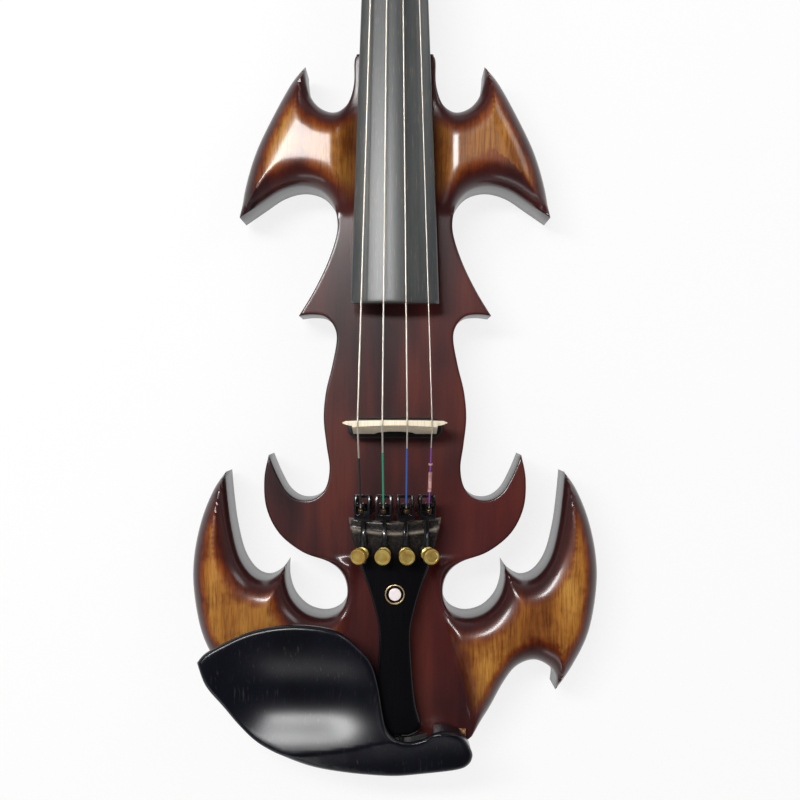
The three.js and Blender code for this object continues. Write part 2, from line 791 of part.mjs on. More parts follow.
function makeBridge() {
  const foot = bridgeFootWidth / 2;
  const half = bridgeCrownWidth / 2;
  const shoulder = bridgeFloor + bridgeCrownHeight - arcDrop(half) / 2;
  const flank = [new THREE.Vector2(foot, bridgeFloor),
    new THREE.Vector2(half - bridgeCrownThickness / 2, (bridgeFloor + shoulder) / 2),
    new THREE.Vector2(half, shoulder - bridgeCrownThickness)];
  const points = [...flank];
  for (let step = 0; step <= crownSteps; step += 1) {
    const x = half * (1 - 2 * step / crownSteps);
    points.push(new THREE.Vector2(x, crownLevel - arcDrop(x)));
  }
  points.push(...flank.reverse().map((point) => new THREE.Vector2(-point.x, point.y)));
  for (let step = 0; step <= crownSteps / 2; step += 1) {
    const angle = Math.PI * (1 - 2 * step / crownSteps);
    points.push(new THREE.Vector2(bridgeArchWidth / 2 * Math.cos(angle),
      bridgeFloor + bridgeArchHeight * Math.sin(angle)));
  }
  const holeLevel = crownLevel - arcDrop(half) / 2 - bridgeHoleRadius * 3;
  const holes = bridgeHoleShares.map((share) => {
    const hole = new THREE.Path();
    return hole.absarc(share * half, holeLevel, bridgeHoleRadius, 0, Math.PI * 2);
  });
  const rise = (z) => (z - bridgeFloor) / (crownLevel - bridgeFloor);
  const centreAt = (z) => THREE.MathUtils.lerp(-pickupSetback, 0, rise(z));
  const thicknessAt = (z) => THREE.MathUtils.lerp(bridgeFootThickness, bridgeCrownThickness, rise(z));
  const backAt = (z) => centreAt(z) - thicknessAt(z) / 2;
  const frontAt = (z) => centreAt(z) + thicknessAt(z) / 2;
  return frontSolid(points, backAt, frontAt, holes);
}

piece('bridge', makeBridge(), colours.maple, 0.6);

// Tailpiece: hill-shaped, wide at the tuners and waisted towards the tail, with a ridge across it
const tailpieceTail = tailEdge + saddleWidth + tailpieceToSaddle;
const tailpieceFront = tailpieceTail + tailpieceLength;
const tailpieceWidthShares = [[0, 1], [0.075, 0.94], [0.21, 0.76], [0.33, 0.56], [0.44, 0.41], [0.54, 0.34],
  [0.72, 0.385], [0.85, 0.45], [0.945, 0.56], [0.98, 0.5], [1, 0.3]];
const tailpieceArcSteps = 6;
const tailArchGrowth = 2.5;

function tailpieceHalf(y) {
  const reach = THREE.MathUtils.clamp((tailpieceFront - y) / tailpieceLength, 0, 1);
  const next = Math.max(1, tailpieceWidthShares.findIndex(([share]) => share >= reach));
  const [start, wide] = tailpieceWidthShares[next - 1];
  const [end, narrow] = tailpieceWidthShares[next];
  return THREE.MathUtils.lerp(wide, narrow, (reach - start) / (end - start)) * tailpieceWidth / 2;
}

function tailpieceTop(x, y) {
  const share = (tailpieceFront - y) / tailpieceLength;
  const centre = THREE.MathUtils.lerp(tailpieceFrontHeight, tailpieceTailHeight, share);
  const side = 2 * x / tailpieceWidth;
  return topLevel + centre - tailpieceArch * side * side * THREE.MathUtils.lerp(1, tailArchGrowth, share);
}

function tailpieceRing(y, lift) {
  const half = tailpieceHalf(y);
  const ring = [];
  for (let step = 0; step <= tailpieceArcSteps; step += 1) {
    const x = half * (2 * step / tailpieceArcSteps - 1);
    ring.push(new THREE.Vector3(x, y, tailpieceTop(x, y) + lift));
  }
  const floor = tailpieceTop(0, y) - tailpieceThickness;
  ring.push(new THREE.Vector3(half, y, floor), new THREE.Vector3(-half, y, floor));
  return ring;
}

const tunerY = tailpieceFront - tunerSetback;
const pocketRoof = 2.4;
const pivotDrop = pocketRoof + gap + leverThickness / 2;
const tunerNames = ['g', 'd', 'a', 'e'];

function tunerPlace(index) {
  const x = (index - 1.5) * tunerSpacing;
  const holder = new THREE.Group();
  holder.position.set(x, tunerY, tailpieceTop(x, tunerY));
  holder.rotation.set(tunerPitch, (index - 1.5) * 2 * tunerLean, 0, 'YXZ');
  holder.updateMatrixWorld(true);
  return holder;
}

const eyeY = tailpieceFront - eyeSetback;
const gutLevel = tailpieceTop(0, tailpieceTail) - tailpieceThickness / 2;

function makeTailpiece() {
  const stations = tailpieceWidthShares.map(([share]) => tailpieceFront - share * tailpieceLength);
  const rings = stations.map((y) => tailpieceRing(y, 0));
  const ridgeY = tailpieceFront - ridgeSetback;
  const ridge = loft([tailpieceRing(ridgeY + ridgeLength / 2, ridgeHeight / 2),
    tailpieceRing(ridgeY, ridgeHeight), tailpieceRing(ridgeY - ridgeLength / 2, ridgeHeight / 2)]);
  const tools = [];
  for (let index = 0; index < tunerNames.length; index += 1) {
    const { matrixWorld } = tunerPlace(index);
    const half = leverWidth / 2 + 2 * gap;
    const pocket = block(-half, half, -frameTail, pivotReach, -tunerPocketDepth - overrun, -pocketRoof);
    const hole = bar([0, 0, -tunerPocketDepth], [0, 0, overrun], screwRadius + gap);
    tools.push(pocket.applyMatrix4(matrixWorld), hole.applyMatrix4(matrixWorld));
  }
  const eyeTop = tailpieceTop(0, eyeY);
  tools.push(bar([0, eyeY, eyeTop - eyeDepth], [0, eyeY, eyeTop + overrun], eyeRingRadius + gap, 20));
  for (const side of [-1, 1]) {
    const x = side * tailgutSpread / 2;
    tools.push(bar([x, tailpieceTail - overrun, gutLevel], [x, tailpieceTail + endpinNeckLength, gutLevel],
      tailgutRadius + gap, 10));
  }
  return cut(join(loft(rings), ridge), ...tools);
}

piece('tailpiece', makeTailpiece(), colours.black, 0.2);

// Eye: a brass ring let into the tailpiece, round a pearl dot
function makeEye() {
  const floor = tailpieceTop(0, eyeY) - eyeDepth + gap;
  const top = tailpieceTop(0, eyeY) + gap / 2;
  const inner = eyeRingRadius - eyeRingWall;
  const ring = [[inner, floor], [eyeRingRadius, floor], [eyeRingRadius, top], [inner, top], [inner, floor]];
  const dot = [[0, floor], [eyeDotRadius, floor], [eyeDotRadius, top], [0, top]];
  for (const [name, profile, colour, metalness] of [['eye_ring', ring, colours.brass, 1],
    ['eye_dot', dot, colours.pearl, 0]]) {
    const lathe = turned(profile, 20);
    piece(name, lathe.rotateX(Math.PI / 2).translate(0, eyeY, 0), colour, 0.3, metalness);
  }
}

makeEye();

// Fine tuners: frame on the tailpiece, hooked lever in its ears, thumbscrew through its boss
function makeFrame() {
  const half = frameWidth / 2;
  const slotHalf = half - earThickness;
  const roof = frameRise + frameThickness;
  const start = pivotReach - earLength / 2;
  const nose = pivotReach + noseReach;
  const spine = block(-spineWidth / 2, spineWidth / 2, -frameTail, start, frameRise, roof);
  const yoke = block(-half, half, start - yokeLength, start, frameRise, roof);
  const earFloor = -pivotDrop - earDrop / 2;
  const front = pivotReach + earLength / 2;
  const earPoints = [[start - gap, earFloor], [front, earFloor], [nose, frameRise - noseDepth],
    [nose, frameRise], [front, roof], [start - gap, roof]];
  const profile = earPoints.map(([y, z]) => new THREE.Vector2(y, z));
  const ears = [-1, 1].map((side) => (
    sideSolid(profile, () => earThickness / 2).translate(side * (slotHalf + earThickness / 2), 0, 0)));
  const bridge = block(-half, half, nose - earThickness, nose, frameRise - noseDepth, frameRise);
  const boss = bar([0, 0, 2 * gap], [0, 0, bossHeight], bossRadius, 14);
  const bore = bar([0, 0, -overrun], [0, 0, bossHeight + overrun], screwRadius + gap, 12);
  return cut(join(spine, yoke, boss, bridge, ...ears), bore);
}

const armTip = -1.1 * screwRadius;

function makeLever() {
  const roof = -pocketRoof - gap;
  const floor = roof - leverThickness;
  const top = hookHeight - gap;
  const points = [[armTip, roof], [pivotReach - pivotRadius, roof], [pivotReach, 0],
    [pivotReach + hookLean, top], [pivotReach + hookLean + leverThickness, top],
    [pivotReach + pivotRadius, roof], [pivotReach, floor - gap], [armTip, floor]];
  const side = sideSolid(points.map(([y, z]) => new THREE.Vector2(y, z)), () => leverWidth / 2);
  const slot = block(-hookSlot / 2, hookSlot / 2, pivotReach, pivotReach + hookLean + leverThickness + overrun,
    top - hookSlotDepth, top + overrun);
  return cut(side, slot).translate(0, -pivotReach, pivotDrop);
}

function makeScrew() {
  const tip = -pocketRoof;
  const chamfer = gap;
  const headTop = screwHeadRise + screwHeadLength;
  const profile = [[0, tip], [screwRadius, tip], [screwRadius, screwHeadRise],
    [screwHeadRadius - chamfer, screwHeadRise], [screwHeadRadius, screwHeadRise + chamfer],
    [screwHeadRadius, headTop - chamfer], [screwHeadRadius - chamfer, headTop], [0, headTop]];
  return turned(profile, 16).rotateX(Math.PI / 2);
}

const tunerHolders = tunerNames.map((name, index) => {
  const holder = tunerPlace(index);
  violin.add(holder);
  piece(`tuner_frame_${name}`, makeFrame(), colours.black, 0.35, 0.6, holder);
  const lever = piece(`tuner_lever_${name}`, makeLever(), colours.black, 0.35, 0.6, holder);
  lever.position.set(0, pivotReach, -pivotDrop);
  piece(`tuner_screw_${name}`, makeScrew(), colours.brass, 0.3, 1, holder);
  return holder;
});

// Pegs: tapered shanks across the pegbox, with collar, flat head and pip
function makePeg(place) {
  const half = pegboxHalf(place.y);
  const collar = half + pegCollarOut;
  const headStart = collar + pegCollarLength;
  const profile = [[0, -half - pegTipOut], [pegRadius, -half - pegTipOut], [pegRadius, collar],
    [pegCollarRadius, collar + pegCollarLength / 4], [pegCollarRadius, collar + pegCollarLength * 3 / 4],
    [pegRadius, headStart], [pegRadius, headStart + pegCollarLength], [0, headStart + pegCollarLength]];
  const shank = turned(profile, 16);
  const head = new THREE.SphereGeometry(0.5, 10, 6);
  head.scale(pegHeadThickness, pegHeadLength, pegHeadWidth).translate(0, headStart + pegHeadLength / 2, 0);
  const pip = new THREE.SphereGeometry(pegPipRadius, 6, 4);
  pip.translate(0, headStart + pegHeadLength + pegPipRadius / 2, 0);
  return join(shank, head, pip).rotateZ(-place.side * Math.PI / 2);
}

// The turns of string on a peg: a helix that works inwards from beside the string's end
const windingSteps = 10;
const windingReachShare = 0.72;

function windingStart(place, index) {
  const side = index < 2 ? -1 : 1;
  const inner = pegboxHalf(place.y) - pegWall;
  return { side, x: side * inner * windingReachShare };
}

function windingStations(place, index) {
  const reach = pegRadius + gap + stringDiameters[index] / 2;
  const { side, x } = windingStart(place, index);
  const stations = [];
  for (let step = 0; step <= windingTurns * windingSteps; step += 1) {
    const angle = 2 * Math.PI * step / windingSteps;
    const across = x - side * windingPitch * (1 + step / windingSteps);
    stations.push([across, reach * Math.sin(angle), reach * Math.cos(angle)]);
  }
  return stations;
}

// Least gap of a winding to itself, between points that lie half a turn or more apart
function selfGap(stations, diameter) {
  const points = stations.map((station) => new THREE.Vector3(...station));
  const gaps = points.flatMap((point, index) => (
    points.slice(index + windingSteps / 2).map((other) => point.distanceTo(other) - diameter)));
  return Math.min(...gaps);
}

for (const place of pegPlaces()) {
  const index = tunerNames.indexOf(place.string);
  const stations = windingStations(place, index);
  const winding = wire(stations, stringDiameters[index] / 2, 5);
  piece(`peg_${place.string}`, makePeg(place), colours.ebony, 0.4).position.set(0, place.y, place.z);
  piece(`peg_winding_${place.string}`, winding, colours.string, 0.4).position.set(0, place.y, place.z);
  const least = selfGap(stations, stringDiameters[index]);
  console.log(`least gap of winding ${place.string} to itself: ${least.toFixed(2)} mm`);
}

// Strings: from the ball behind the hook over the bridge, the nut and down to the peg
const hookLevel = hookHeight - gap - hookSlotDepth / 2;
const wrapSteps = 3;

function makeString(name, index) {
  const radius = stringDiameters[index] / 2;
  const atBridge = (index - 1.5) * bridgeSpread / 3;
  const atNut = (index - 1.5) * nutSpread / 3;
  const place = pegPlaces().find((peg) => peg.string === name);
  const local = (y) => tunerHolders[index].localToWorld(new THREE.Vector3(0, y, hookLevel)).toArray();
  const ball = local(pivotReach + pivotRadius / 4 - gap);
  const hook = local(pivotReach + hookLean + leverThickness / 2);
  const nutLevel = (y) => boardTop(y) + nutRise - arcDrop(atNut) + stringSeat;
  const bridgeLevel = topLevel + crownHeight - arcDrop(atBridge);
  const { x } = windingStart(place, index);
  const drop = pegRadius + gap + radius;
  const stations = [ball, hook, [atBridge, -bridgeCrownThickness / 2, bridgeLevel - gap / 3],
    [atBridge, bridgeCrownThickness / 2, bridgeLevel], [atNut, nutFace, nutLevel(nutFace)],
    [atNut, neckEnd + gap, nutLevel(neckEnd) - gap], [x, place.y - radius, place.z + drop]];
  for (let step = 1; step <= wrapSteps; step += 1) {
    const angle = Math.PI / 2 * step / wrapSteps;
    stations.push([x, place.y + drop * Math.sin(angle), place.z + drop * Math.cos(angle)]);
  }
  const end = new THREE.SphereGeometry(ballRadius, 8, 6).translate(...ball);
  return join(wire(stations, radius, 6), end);
}

tunerNames.forEach((name, index) => {
  piece(`string_${name}`, makeString(name, index), colours.string, 0.3, 1);
});

// Saddle: the ebony block on the tail edge that lifts the tailgut over the body
const saddleTop = topLevel + saddleHeight;

function makeSaddle() {
  const half = saddleLength / 2;
  const floor = topLevel - saddleWidth / 2 + gap;
  const points = [[-half, floor], [half, floor], [half, topLevel + gap], [half / 2, saddleTop],
    [-half / 2, saddleTop], [-half, topLevel + gap]];
  const profile = points.map(([x, z]) => new THREE.Vector2(x, z));
  return frontSolid(profile, () => tailEdge, () => tailEdge + saddleWidth);
}

piece('saddle', makeSaddle(), colours.ebony, 0.4);

// Endpin: turned ebony, its shank in the tail and its button holding the tailgut
const pinLevel = backLevel + bodyThickness / 2;

function makeEndpin() {
  const neck = endpinShankLength + endpinNeckLength;
  const chamfer = endpinHeadLength / 4;
  const profile = [[0, 0], [endpinNeckRadius, 0], [endpinNeckRadius, neck], [endpinRadius, neck + chamfer],
    [endpinRadius, neck + endpinHeadLength - chamfer], [endpinRadius / 2, neck + endpinHeadLength],
    [0, neck + endpinHeadLength]];
  const lathe = turned(profile, 16);
  return lathe.rotateX(Math.PI).translate(0, tailEdge + endpinShankLength, pinLevel);
}

piece('endpin', makeEndpin(), colours.ebony, 0.35);

// Tailgut: one cord out of the tailpiece, over the saddle, round the endpin and back
function makeTailgut() {
  const clear = tailgutRadius + gap;
  const half = tailgutSpread / 2;
  const hang = tailEdge - endpinNeckLength / 2;
  const loop = endpinNeckRadius + clear;
  const away = tailEdge - clear * 1.4;
  const side = [[half, tailpieceTail + endpinNeckLength - gap, gutLevel],
    [half, tailpieceTail - clear, gutLevel], [half, tailEdge + clear / 2, saddleTop + clear * 1.2],
    [half, tailEdge - clear / 2, saddleTop + clear], [half, away, saddleTop - clear / 3],
    [half, away, topLevel - clear], [loop, hang, pinLevel + loop / 2],
    [loop * 0.9, hang, pinLevel - loop / 2], [loop / 3, hang, pinLevel - loop]];
  const back = [...side].reverse().map(([x, y, z]) => [-x, y, z]);
  return wire([...side, ...back], tailgutRadius, 6);
}

piece('tailgut', makeTailgut(), colours.black, 0.4);

// Chinrest: a cup on the bass side and an arm over the tail, on two corked feet
const chinrestShares = [[0, 0.24], [0.03, 0.18], [0.1, 0.11], [0.19, 0.04], [0.3, 0], [0.41, 0], [0.51, 0.04],
  [0.58, 0.14], [0.63, 0.25], [0.655, 0.4], [0.67, 0.56], [0.685, 0.67], [0.715, 0.735], [0.76, 0.765],
  [0.82, 0.745], [0.86, 0.7], [0.9, 0.69], [0.94, 0.71], [0.97, 0.75], [0.99, 0.81], [1, 0.87], [0.985, 0.93],
  [0.94, 0.965], [0.81, 0.99], [0.7, 1], [0.55, 0.975], [0.42, 0.93], [0.32, 0.86], [0.22, 0.77], [0.15, 0.66],
  [0.09, 0.53], [0.03, 0.39]];
const cupCentreShare = [0.37, 0.44];
const chinrestFront = tailEdge + chinrestReach;
const footOuter = lowerCreaseTailShare * bodyWidth / 2 - footMargin;
const armStartShare = 0.62;
const armBlendShare = 0.7;
const footTopShare = 0.68;

function chinrestPoint([across, down]) {
  return new THREE.Vector2(chinrestLeft + across * chinrestWidth, chinrestFront - down * chinrestDepth);
}

function chinrestTop(x, y) {
  const arm = smooth((x - chinrestLeft) / chinrestWidth / armStartShare - armBlendShare);
  const level = THREE.MathUtils.lerp(chinrestRim, chinrestArm, arm);
  const centre = chinrestPoint(cupCentreShare);
  const away = Math.hypot((x - centre.x) / cupRadiusX, (y - centre.y) / cupRadiusY);
  return topLevel + level - cupDepth * Math.exp(-away * away);
}

function chinrestBottom(x, y) {
  const across = Math.abs(x);
  if (across < footInner) {
    return topLevel + tailpieceTailHeight + tailpieceClearance;
  }
  const atFoot = y < chinrestPoint([0, footTopShare]).y && across < footOuter + chinrestGrid;
  return atFoot ? topLevel + corkThickness + 2 * gap : chinrestTop(x, y) - cupThickness;
}

function makeChinrest() {
  const plan = new THREE.SplineCurve([...chinrestShares, chinrestShares[0]].map(chinrestPoint));
  const edge = plan.getPoints(chinrestShares.length * stepsPerSpan).slice(0, -1).reverse();
  const box = { x0: chinrestLeft - overrun, x1: chinrestLeft + chinrestWidth + overrun,
    y0: chinrestFront - chinrestDepth - overrun, y1: chinrestFront + overrun };
  const relief = reliefSlab(box, chinrestGrid, chinrestTop, chinrestBottom);
  const whole = meet(relief, prism(edge, topLevel, topLevel + crownHeight));
  const seats = [-1, 1].map((side) => {
    const x = side * clampSpacing / 2;
    return bar([x, clampY, topLevel - overrun], [x, clampY, topLevel + corkThickness + rodGrip + gap],
      rodRadius + gap, 10);
  });
  return cut(whole, ...seats);
}

const clampY = tailEdge - barrelSetback;
piece('chinrest', makeChinrest(), colours.ebony, 0.35);

// Cork pads between the chinrest's feet and the body
for (const [name, side] of [['chinrest_cork_left', -1], ['chinrest_cork_right', 1]]) {
  const ends = [side * (footInner + corkThickness), side * (footOuter - corkThickness)];
  const [x0, x1] = ends.sort((a, b) => a - b);
  const y0 = tailEdge + footSetback;
  const y1 = chinrestPoint([0, footTopShare]).y - chinrestGrid / 2;
  piece(name, block(x0, x1, y0, y1, topLevel + gap, topLevel + gap + corkThickness), colours.cork, 0.9);
}

// Clamp: two posts in the chinrest, two barrels on them, and a footed bracket under the back
const barrelTop = topLevel + corkThickness - rodGrip / 2;
const barrelBottom = barrelTop - barrelLength;

function makeBarrel() {
  const chamfer = barrelRadius / 5;
  const bore = rodRadius + gap;
  const half = barrelLength / 2;
  const profile = [[bore, -half], [barrelRadius - chamfer, -half], [barrelRadius, chamfer - half],
    [barrelRadius, half - chamfer], [barrelRadius - chamfer, half], [bore, half], [bore, -half]];
  const lathe = turned(profile, 14).rotateX(Math.PI / 2);
  return cut(lathe, bar([-barrelRadius * 2, 0, 0], [barrelRadius * 2, 0, 0], wrenchHoleRadius, 8));
}

function makeBracket() {
  const half = clampSpacing / 2;
  const side = half + bracketWidth / 2;
  const plate = block(-side, side, clampY - bracketWidth / 3, tailEdge + bracketReach, 0, bracketThickness);
  const rods = [-1, 1].map((hand) => bar([hand * half, clampY, bracketThickness / 2],
    [hand * half, clampY, barrelBottom + rodGrip], rodRadius, 10));
  return join(plate, ...rods);
}

for (const [name, side] of [['left', -1], ['right', 1]]) {
  const x = side * clampSpacing / 2;
  const postTop = topLevel + corkThickness + rodGrip;
  const post = bar([x, clampY, barrelTop - rodGrip], [x, clampY, postTop], rodRadius, 10);
  piece(`clamp_post_${name}`, post, colours.nickel, 0.25, 1);
  const barrel = piece(`clamp_barrel_${name}`, makeBarrel(), colours.nickel, 0.25, 1);
  barrel.position.set(x, clampY, (barrelTop + barrelBottom) / 2);
}

piece('clamp_bracket', makeBracket(), colours.nickel, 0.25, 1);
const footHalf = clampSpacing / 2 + bracketWidth / 3;
piece('clamp_cork', block(-footHalf, footHalf, tailEdge + footSetback, tailEdge + bracketReach - gap,
  bracketThickness + gap, bracketThickness + gap + footCorkThickness), colours.cork, 0.9);

// Control plate: recessed in the back, with two potentiometers whose knobs stay below the back's level
const plateFloor = backLevel + plateInset;
const plateTop = plateFloor + plateThickness;
const potY = plateTail + ledge + potRadius + potClearance;
const stemRadius = potShaftRadius * 2 / 3;
const potTop = plateTop + gap + potHeight;

function makePlate() {
  const half = plateWidth / 2;
  const plate = block(-half, half, plateTail, plateHead, plateFloor, plateTop);
  const holes = [-1, 1].map((side) => {
    const x = side * knobSpacing / 2;
    return bar([x, potY, plateFloor - overrun], [x, potY, plateTop + overrun], potShaftRadius + gap, 14);
  });
  const screws = plateScrewPlaces().map(([x, y]) => bar([x, y, plateFloor - overrun], [x, y, plateTop + overrun],
    plateScrewRadius + gap, 10));
  return cut(plate, ...holes, ...screws);
}

piece('control_plate', makePlate(), colours.plastic, 0.5);

function makePot() {
  const bushing = plateThickness + gap;
  const bore = stemRadius + gap;
  const profile = [[bore, -bushing], [potShaftRadius, -bushing], [potShaftRadius, 0], [potRadius, 0],
    [potRadius, potHeight], [0, potHeight], [0, potHeight / 2], [bore, potHeight / 2], [bore, -bushing]];
  return turned(profile, 14).rotateX(Math.PI / 2);
}

function makeKnob() {
  const chamfer = knobRadius / 8;
  const stemTop = gap + plateThickness + potHeight / 2;
  const profile = [[0, -knobHeight], [knobRadius - chamfer, -knobHeight], [knobRadius, chamfer - knobHeight],
    [knobRadius, 0], [stemRadius, 0], [stemRadius, stemTop], [0, stemTop]];
  const knob = turned(profile, 18).rotateX(Math.PI / 2);
  const mark = block(-gap, gap, knobRadius / 3, knobRadius + gap, -knobHeight - overrun,
    gap * 2 - knobHeight);
  return cut(knob, mark);
}

for (const [name, side] of [['tone', -1], ['volume', 1]]) {
  const x = side * knobSpacing / 2;
  piece(`${name}_pot`, makePot(), colours.steel, 0.4, 1).position.set(x, potY, plateTop + gap);
  piece(`${name}_knob`, makeKnob(), colours.plastic, 0.4).position.set(x, potY, plateFloor - gap);
}

// Plate screws
plateScrewPlaces().forEach(([x, y], index) => {
  const head = plateScrewHead / 2;
  const profile = [[0, -head], [plateScrewHead, -head], [plateScrewHead, 0], [plateScrewRadius, 0],
    [plateScrewRadius, plateScrewLength - head], [0, plateScrewLength]];
  const lathe = turned(profile, 10).rotateX(Math.PI / 2);
  const name = index === 0 ? 'plate_screw_tail' : 'plate_screw_head';
  piece(name, lathe, colours.nickel, 0.3, 1).position.set(x, y, plateFloor - gap);
});

// Preamplifier board, seated on the potentiometers
const boardTail = cavityTail + 2 * gap;
const boardFloor = potTop + gap;
const preamp = block(-boardWidth / 2, boardWidth / 2, boardTail, boardTail + boardLength, boardFloor,
  boardFloor + boardThickness);
piece('preamp_board', preamp, colours.green, 0.5);

// Output jack: a barrel in the treble wall, bored for the plug, with a flange in its dish
function makeJack() {
  const profile = [[jackBore, jackLength], [jackRadius, jackLength], [jackRadius, 0], [jackFlange, 0],
    [jackFlange, -jackFlangeThickness], [jackBore, -jackFlangeThickness], [jackBore, jackLength]];
  const lathe = turned(profile, 18);
  return lathe.rotateZ(Math.PI / 2).translate(jackSeat, jackY, backLevel + jackHeight);
}

piece('output_jack', makeJack(), colours.nickel, 0.3, 1);

// Battery, its snap, its lead and its hinged door
const batteryFloor = backLevel + doorThickness + 2 * gap;
const batteryLeft = batteryPlay - batteryHalfX;
const batterySouth = batteryCentre - batteryHalfY + gap;
const cell = block(batteryLeft, batteryLeft + batteryLength, batterySouth, batterySouth + batteryWidth,
  batteryFloor, batteryFloor + batteryHeight);
piece('battery', cell, colours.cell, 0.4, 0.3);
const snapLeft = batteryLeft + batteryLength + gap;
const snapInset = batteryWidth / 8;
const snap = block(snapLeft, snapLeft + snapThickness - gap, batterySouth + snapInset,
  batterySouth + batteryWidth - snapInset, batteryFloor + snapInset / 2, batteryFloor + batteryHeight - snapInset);
piece('battery_snap', snap, colours.black, 0.6);

const doorPinY = batteryCentre + batteryHalfY + doorLip;

function makeDoor() {
  const half = batteryHalfX + doorLip;
  const reach = 2 * (batteryHalfY + doorLip);
  const leaf = block(-half, half, -reach, 0, -doorPinRadius, doorThickness - doorPinRadius);
  const notch = block(-doorLip * 2, doorLip * 2, -reach - overrun, doorLip / 2 - reach, -overrun, overrun);
  return cut(join(leaf, bar([-half, 0, 0], [half, 0, 0], doorPinRadius, 12)), notch);
}

piece('battery_door', makeDoor(), colours.plastic, 0.5).position.set(0, doorPinY, backLevel + doorPinRadius);

// Leads inside the body: from the pickup down to the board, and from the battery to the board
const boardRoof = boardFloor + boardThickness + gap + leadRadius;
const boardHead = boardTail + boardLength;
const pickupLeadStations = [[0, -pickupSetback, topLevel], [0, -pickupSetback, cavityTop],
  [0, -pickupSetback - leadRadius, cavityTop - 3 * leadRadius], [0, -pickupSetback - 5 * leadRadius, boardRoof],
  [0, boardHead - 3 * leadRadius, boardRoof]];
piece('pickup_lead', wire(pickupLeadStations, leadRadius, 6), colours.black, 0.6);
const leadRoom = batteryCentre + batteryHalfY - leadRadius - gap;
const snapSide = batterySouth + batteryWidth - snapInset + gap;
const snapMiddle = snapLeft + snapThickness / 2;
const leadLevel = batteryTop - 2 * leadRadius;
const batteryLeadStations = [[snapMiddle, snapSide, pinLevel], [snapMiddle, leadRoom - leadRadius, pinLevel],
  [snapMiddle - 2 * leadRadius, leadRoom, pinLevel + leadRadius], [channelWidth / 2, leadRoom, leadLevel],
  [0, leadRoom + 3 * leadRadius, leadLevel], [0, boardTail - 2 * leadRadius, leadLevel],
  [0, boardTail + leadRadius, boardRoof], [0, boardTail + 4 * leadRadius, boardRoof]];
piece('battery_lead', wire(batteryLeadStations, leadRadius, 6), colours.black, 0.6);

// The origin goes under the middle of the finished instrument
const box = new THREE.Box3().setFromObject(violin);
const middle = box.getCenter(new THREE.Vector3());
violin.position.set(-middle.x, -middle.y, -box.min.z);

export default violin;
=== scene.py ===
import bpy
import bmesh
import numpy as np
from math import cos, sin, pi, radians, sqrt
from mathutils import Matrix, Vector
from mathutils.geometry import delaunay_2d_cdt


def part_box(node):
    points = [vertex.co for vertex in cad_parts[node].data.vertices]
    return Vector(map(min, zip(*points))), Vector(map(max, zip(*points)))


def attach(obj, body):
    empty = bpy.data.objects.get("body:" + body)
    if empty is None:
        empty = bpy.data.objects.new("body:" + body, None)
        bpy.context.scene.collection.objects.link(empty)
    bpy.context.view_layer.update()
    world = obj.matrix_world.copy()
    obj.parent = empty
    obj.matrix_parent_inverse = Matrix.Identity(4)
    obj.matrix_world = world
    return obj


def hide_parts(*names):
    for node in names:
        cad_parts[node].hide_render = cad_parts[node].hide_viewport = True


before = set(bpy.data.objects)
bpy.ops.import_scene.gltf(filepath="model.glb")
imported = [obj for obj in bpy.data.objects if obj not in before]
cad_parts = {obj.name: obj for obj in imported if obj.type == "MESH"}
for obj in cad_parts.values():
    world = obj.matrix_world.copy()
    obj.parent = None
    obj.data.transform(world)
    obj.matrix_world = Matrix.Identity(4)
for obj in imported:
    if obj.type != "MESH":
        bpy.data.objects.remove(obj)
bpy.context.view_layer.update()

# Body
# One carved hardwood board, band-sawn to its horned outline and routed flat along the middle.
# The four wings are carved to pillows, then the whole is stained, burst dark at the rims and
# lacquered to a high gloss.
millimetre = 0.001
body_length = 340
body_width = 200
body_thickness = 32
body_back = 3.4
body_top = body_back + body_thickness
tail_edge = -159
bridge_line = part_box("body")[0][1] / millimetre - tail_edge     # the bridge's place along the row's Y
upper_edge = tail_edge + body_length
edge_round = 13
edge_drop = 5
wing_bulge = 5
crease_width = 7
panel_edge = 0.7                # the small rounding along the flat parts
block_run = [(0, 0), (0.17, 0), (0.19, 0.003), (0.2, 0.012), (0.202, 0.043), (0.227, 0.068),
             (0.271, 0.08), (0.32, 0.082), (0.374, 0.075), (0.414, 0.061), (0.433, 0.043),
             (0.441, 0.026), (0.443, 0.016)]
upper_wing_run = [(0.443, 0.016), (0.517, 0.043), (0.616, 0.096), (0.69, 0.143), (0.739, 0.192),
                  (0.764, 0.237)]
waist_run = [(0.764, 0.237), (0.665, 0.217), (0.567, 0.198), (0.468, 0.19), (0.379, 0.195),
             (0.32, 0.21), (0.288, 0.232), (0.286, 0.26), (0.33, 0.301), (0.399, 0.343),
             (0.473, 0.379)]
flank_run = [(0.473, 0.379), (0.409, 0.377), (0.345, 0.38), (0.3, 0.394), (0.287, 0.414),
             (0.31, 0.452), (0.34, 0.489), (0.351, 0.527), (0.337, 0.566), (0.322, 0.599),
             (0.34, 0.627), (0.394, 0.643), (0.468, 0.645), (0.532, 0.633), (0.581, 0.608),
             (0.621, 0.58)]
inner_horn_run = [(0.621, 0.58), (0.643, 0.614), (0.633, 0.656), (0.571, 0.693), (0.458, 0.72),
                  (0.33, 0.735), (0.259, 0.754), (0.236, 0.78), (0.266, 0.805), (0.345, 0.816),
                  (0.438, 0.81), (0.507, 0.79), (0.537, 0.764), (0.537, 0.738)]
valley_run = [(0.537, 0.738), (0.576, 0.753), (0.64, 0.762), (0.709, 0.754), (0.768, 0.728),
              (0.805, 0.686), (0.825, 0.643), (0.837, 0.605)]
lower_wing_run = [(0.837, 0.605), (0.897, 0.631), (0.956, 0.674), (0.993, 0.726),
                  (0.995, 0.776), (0.956, 0.838), (0.877, 0.886), (0.793, 0.922)]
